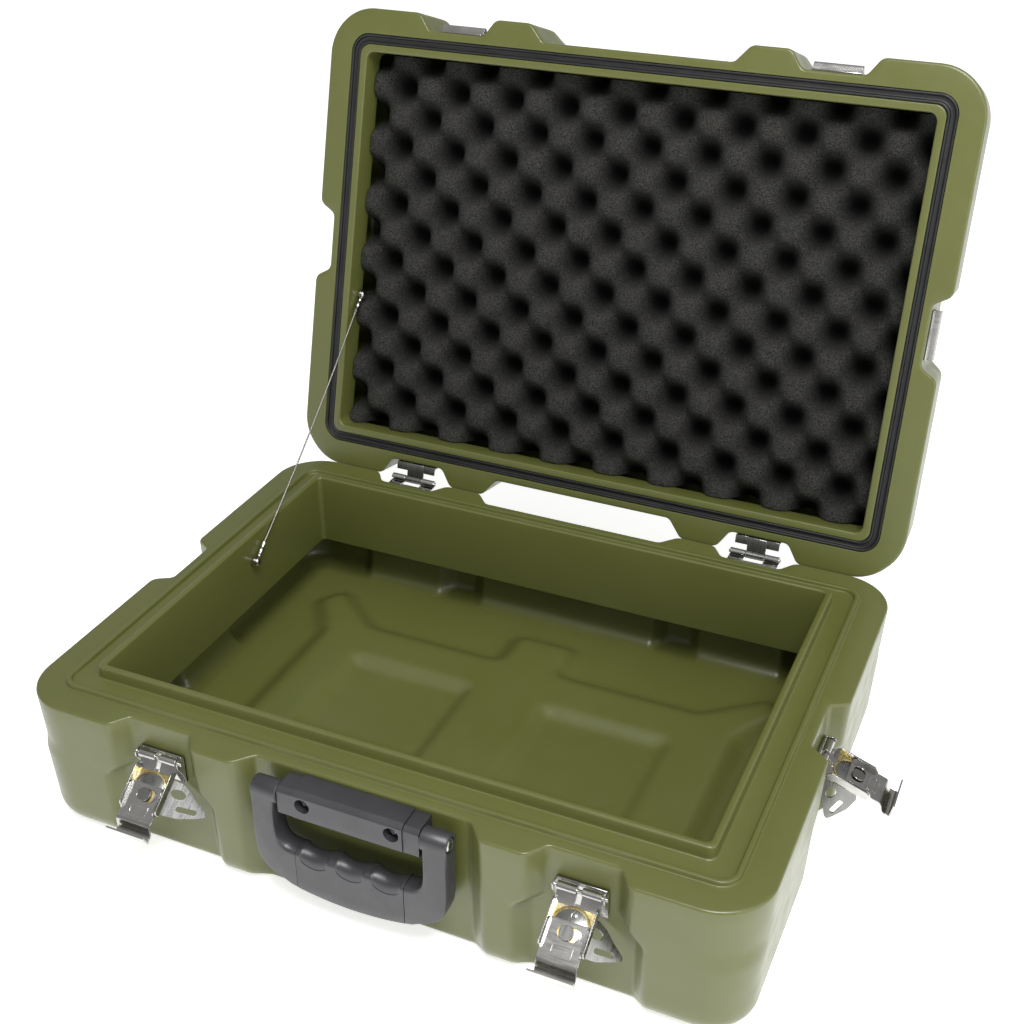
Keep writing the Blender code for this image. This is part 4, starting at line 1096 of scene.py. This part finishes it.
def make_handle():
    bar = new_piece("handle_bar", build_bar, PLASTIC, "base", ["handle_bracket"])
    cut(bar, build_hole_tool)
    end_screw = partial(screw_head, radius=5.1, thickness=3.0)
    bar_screw = partial(screw_head, radius=4.8, thickness=2.4)
    for side, way in (("left", -1), ("right", 1)):
        arm = partial(build_handle_arm, way=way)
        nodes = [f"handle_arm_{side}"]
        leg = new_piece(f"handle_leg_{side}", arm, PLASTIC, "handle", nodes, smooth=40)
        cut(leg, partial(build_seat_tool, way=way))
        place, node = (way * END_SCREW_X, HANDLE_Y, HANDLE_Z), f"handle_pivot_screw_{side}"
        make_screw(f"handle_end_screw_{side}", node, end_screw, "base", place, (way, 0, 0))
        place, node = (way * BAR_SCREW[0], *BAR_SCREW[1:]), f"handle_mounting_screw_{side}"
        make_screw(f"handle_bar_screw_{side}", node, bar_screw, "base", place, (0, -1, 0))
    grip = ["handle_grip"]
    new_piece("handle_finger_grip", build_grip, PLASTIC, "handle", grip, smooth=28)


# Stay rope


def rope_route():
    """Points along the rope between its two ferrules in the open case."""
    low = BASE_ANCHOR + EYE_STANDOFF
    high = OPENED @ (LID_ANCHOR + EYE_STANDOFF)
    way = (high - low).normalized()
    start, end = low + way * ROPE_START, high - way * ROPE_START
    shares = [i / 44 for i in range(45)]
    return low, high, [start.lerp(end, s) + ROPE_SAG * 4 * s * (1 - s) for s in shares]


def build_rope(bm, route):
    """Six strands laid round each other, as one fluted tube with a helical lay."""
    strands, around, lay, fine = 6, 36, 9 * MM, 11
    rings = []
    length = 0.0
    previous = route[0]
    for i in range((len(route) - 1) * fine + 1):
        k = min(i // fine, len(route) - 2)
        place = route[k].lerp(route[k + 1], i / fine - k)
        tangent = (route[k + 1] - route[k]).normalized()
        length += (place - previous).length
        previous = place
        side = tangent.cross(Vector((1, 0, 0))).normalized()
        other = tangent.cross(side)
        loop = []
        for j in range(around):
            a = 2 * math.pi * j / around
            flute = abs(math.sin(strands / 2 * (a - 2 * math.pi * length / lay)))
            radius = ROPE_RADIUS * (0.74 + 0.26 * flute**0.6)
            loop.append(bm.verts.new(place + (side * math.cos(a) + other * math.sin(a)) * radius))
        rings.append(loop)
    solid(bm, rings)


def build_ferrule(bm):
    """Crimped sleeve along +X with its flattened eye at the origin."""
    eye, hole = circle(0, 0, 5 * MM, 48), circle(0, 0, 2.6 * MM, 32)
    prism(bm, eye, "Z", -0.65 * MM, 0.65 * MM, [hole])
    sleeve = [(1.2, 3.8), (1.8, 4.6), (1.9, 6.2), (1.6, 6.9), (1.6, 8.6), (1.9, 9.3)]
    sleeve += [(1.9, 12.2), (1.6, 12.9), (1.6, 14.6), (1.9, 15.3), (1.9, 18.2), (1.3, 19)]
    revolve(bm, sleeve, (0, 0, 0), (1, 0, 0), 24)


def ferrule_matrix(eye, towards):
    along = (towards - eye).normalized()
    across_way = along.cross(Vector((1, 0, 0))).normalized()
    face = across_way.cross(along).normalized()
    return Matrix.Translation(eye) @ Matrix((along, across_way, face)).transposed().to_4x4()


def build_anchor(bm):
    """Shoulder screw about +Z: collar, shank and a domed head with a cross recess."""
    revolve(bm, [(3.4, 0.3), (3.6, 0.6), (3.6, 2.4)], (0, 0, 0), (0, 0, 1), 32)
    revolve(bm, [(2, 1), (2, 5)], (0, 0, 0), (0, 0, 1), 24)
    start = len(bm.verts)
    screw_head(bm, 4.0, 2.1, 2.3)
    bm.verts.ensure_lookup_table()
    for vert in bm.verts[start:]:
        vert.co.z += 4.4 * MM


def make_stay():
    low, high, route = rope_route()
    build = partial(build_rope, route=route)
    rope = new_piece("stay_rope", build, ROPE, None, ["stay_cable"], smooth=60)
    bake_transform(rope)
    ends = (("base", BASE_ANCHOR, low, high), ("lid", OPENED @ LID_ANCHOR, high, low))
    for body, wall, eye, other in ends:
        name, nodes = f"stay_sleeve_{body}", [f"stay_ferrule_{body}"]
        turn = ferrule_matrix(eye, other)
        sleeve = new_piece(name, build_ferrule, STAINLESS, body, nodes, turn)
        node = f"stay_screw_{body}"
        make_screw(f"stay_anchor_{body}", node, build_anchor, body, wall, (1, 0, 0))


# Studio


def make_floor():
    mesh = bpy.data.meshes.new("studio_floor")
    half = FLOOR_HALF
    corners = [(-half, -half, 0), (half, -half, 0), (half, half, 0), (-half, half, 0)]
    mesh.from_pydata(corners, [], [(0, 1, 2, 3)])
    floor = add_object("studio_floor", mesh)
    look = Look("studio_white", (0.9, 0.9, 0.9), 0.6)
    look.colour(look.noise(3, 2), [(0.3, (0.90, 0.90, 0.90)), (0.7, (0.92, 0.92, 0.92))])
    look.set("Emission Color", (1, 1, 1, 1))
    look.set("Emission Strength", FLOOR_GLOW)
    mesh.materials.append(look.material)


def area_light(name, place, size, power):
    """Rectangular light that faces the case."""
    light = bpy.data.lights.new(name, "AREA")
    light.shape = "RECTANGLE"
    light.size, light.size_y = size
    light.energy = power
    item = add_object(name, light)
    way = Vector(place) - LIGHT_TARGET
    item.matrix_world = Matrix.Translation(place) @ facing(way)


def make_world():
    """Sky that is bright at the horizon and dimmer above, for the metal's reflections."""
    world = bpy.data.worlds.new("studio_world")
    bpy.context.scene.world = world
    world.use_nodes = True
    graph = world.node_tree
    background = graph.nodes["Background"]
    direction = graph.nodes.new("ShaderNodeTexCoord")
    parts = graph.nodes.new("ShaderNodeSeparateXYZ")
    ramp = graph.nodes.new("ShaderNodeValToRGB")
    set_stops(ramp, [(position, (value,) * 3) for position, value in SKY_STOPS])
    graph.links.new(direction.outputs["Generated"], parts.inputs["Vector"])
    graph.links.new(parts.outputs["Z"], ramp.inputs["Fac"])
    graph.links.new(ramp.outputs["Color"], background.inputs["Color"])


def make_studio():
    make_floor()
    make_world()
    bpy.context.scene.view_settings.view_transform = "Standard"
    area_light("key_light", *KEY_LIGHT)
    area_light("right_light", *RIGHT_LIGHT)


def make_camera():
    """Camera solved from the photograph's edges."""
    data = bpy.data.cameras.new("case_camera")
    data.sensor_width = 36
    data.lens = CAMERA_LENS
    data.clip_start = 0.01
    camera = add_object("case_camera", data)
    turn = Matrix((CAMERA_RIGHT, CAMERA_UP, CAMERA_BACK)).transposed().to_4x4()
    camera.matrix_world = Matrix.Translation(CAMERA_PLACE) @ turn
    bpy.context.scene.camera = camera


def main():
    make_camera()
    make_stay()
    make_shells()
    make_hinges()
    make_latches()
    make_handle()
    make_studio()


main()
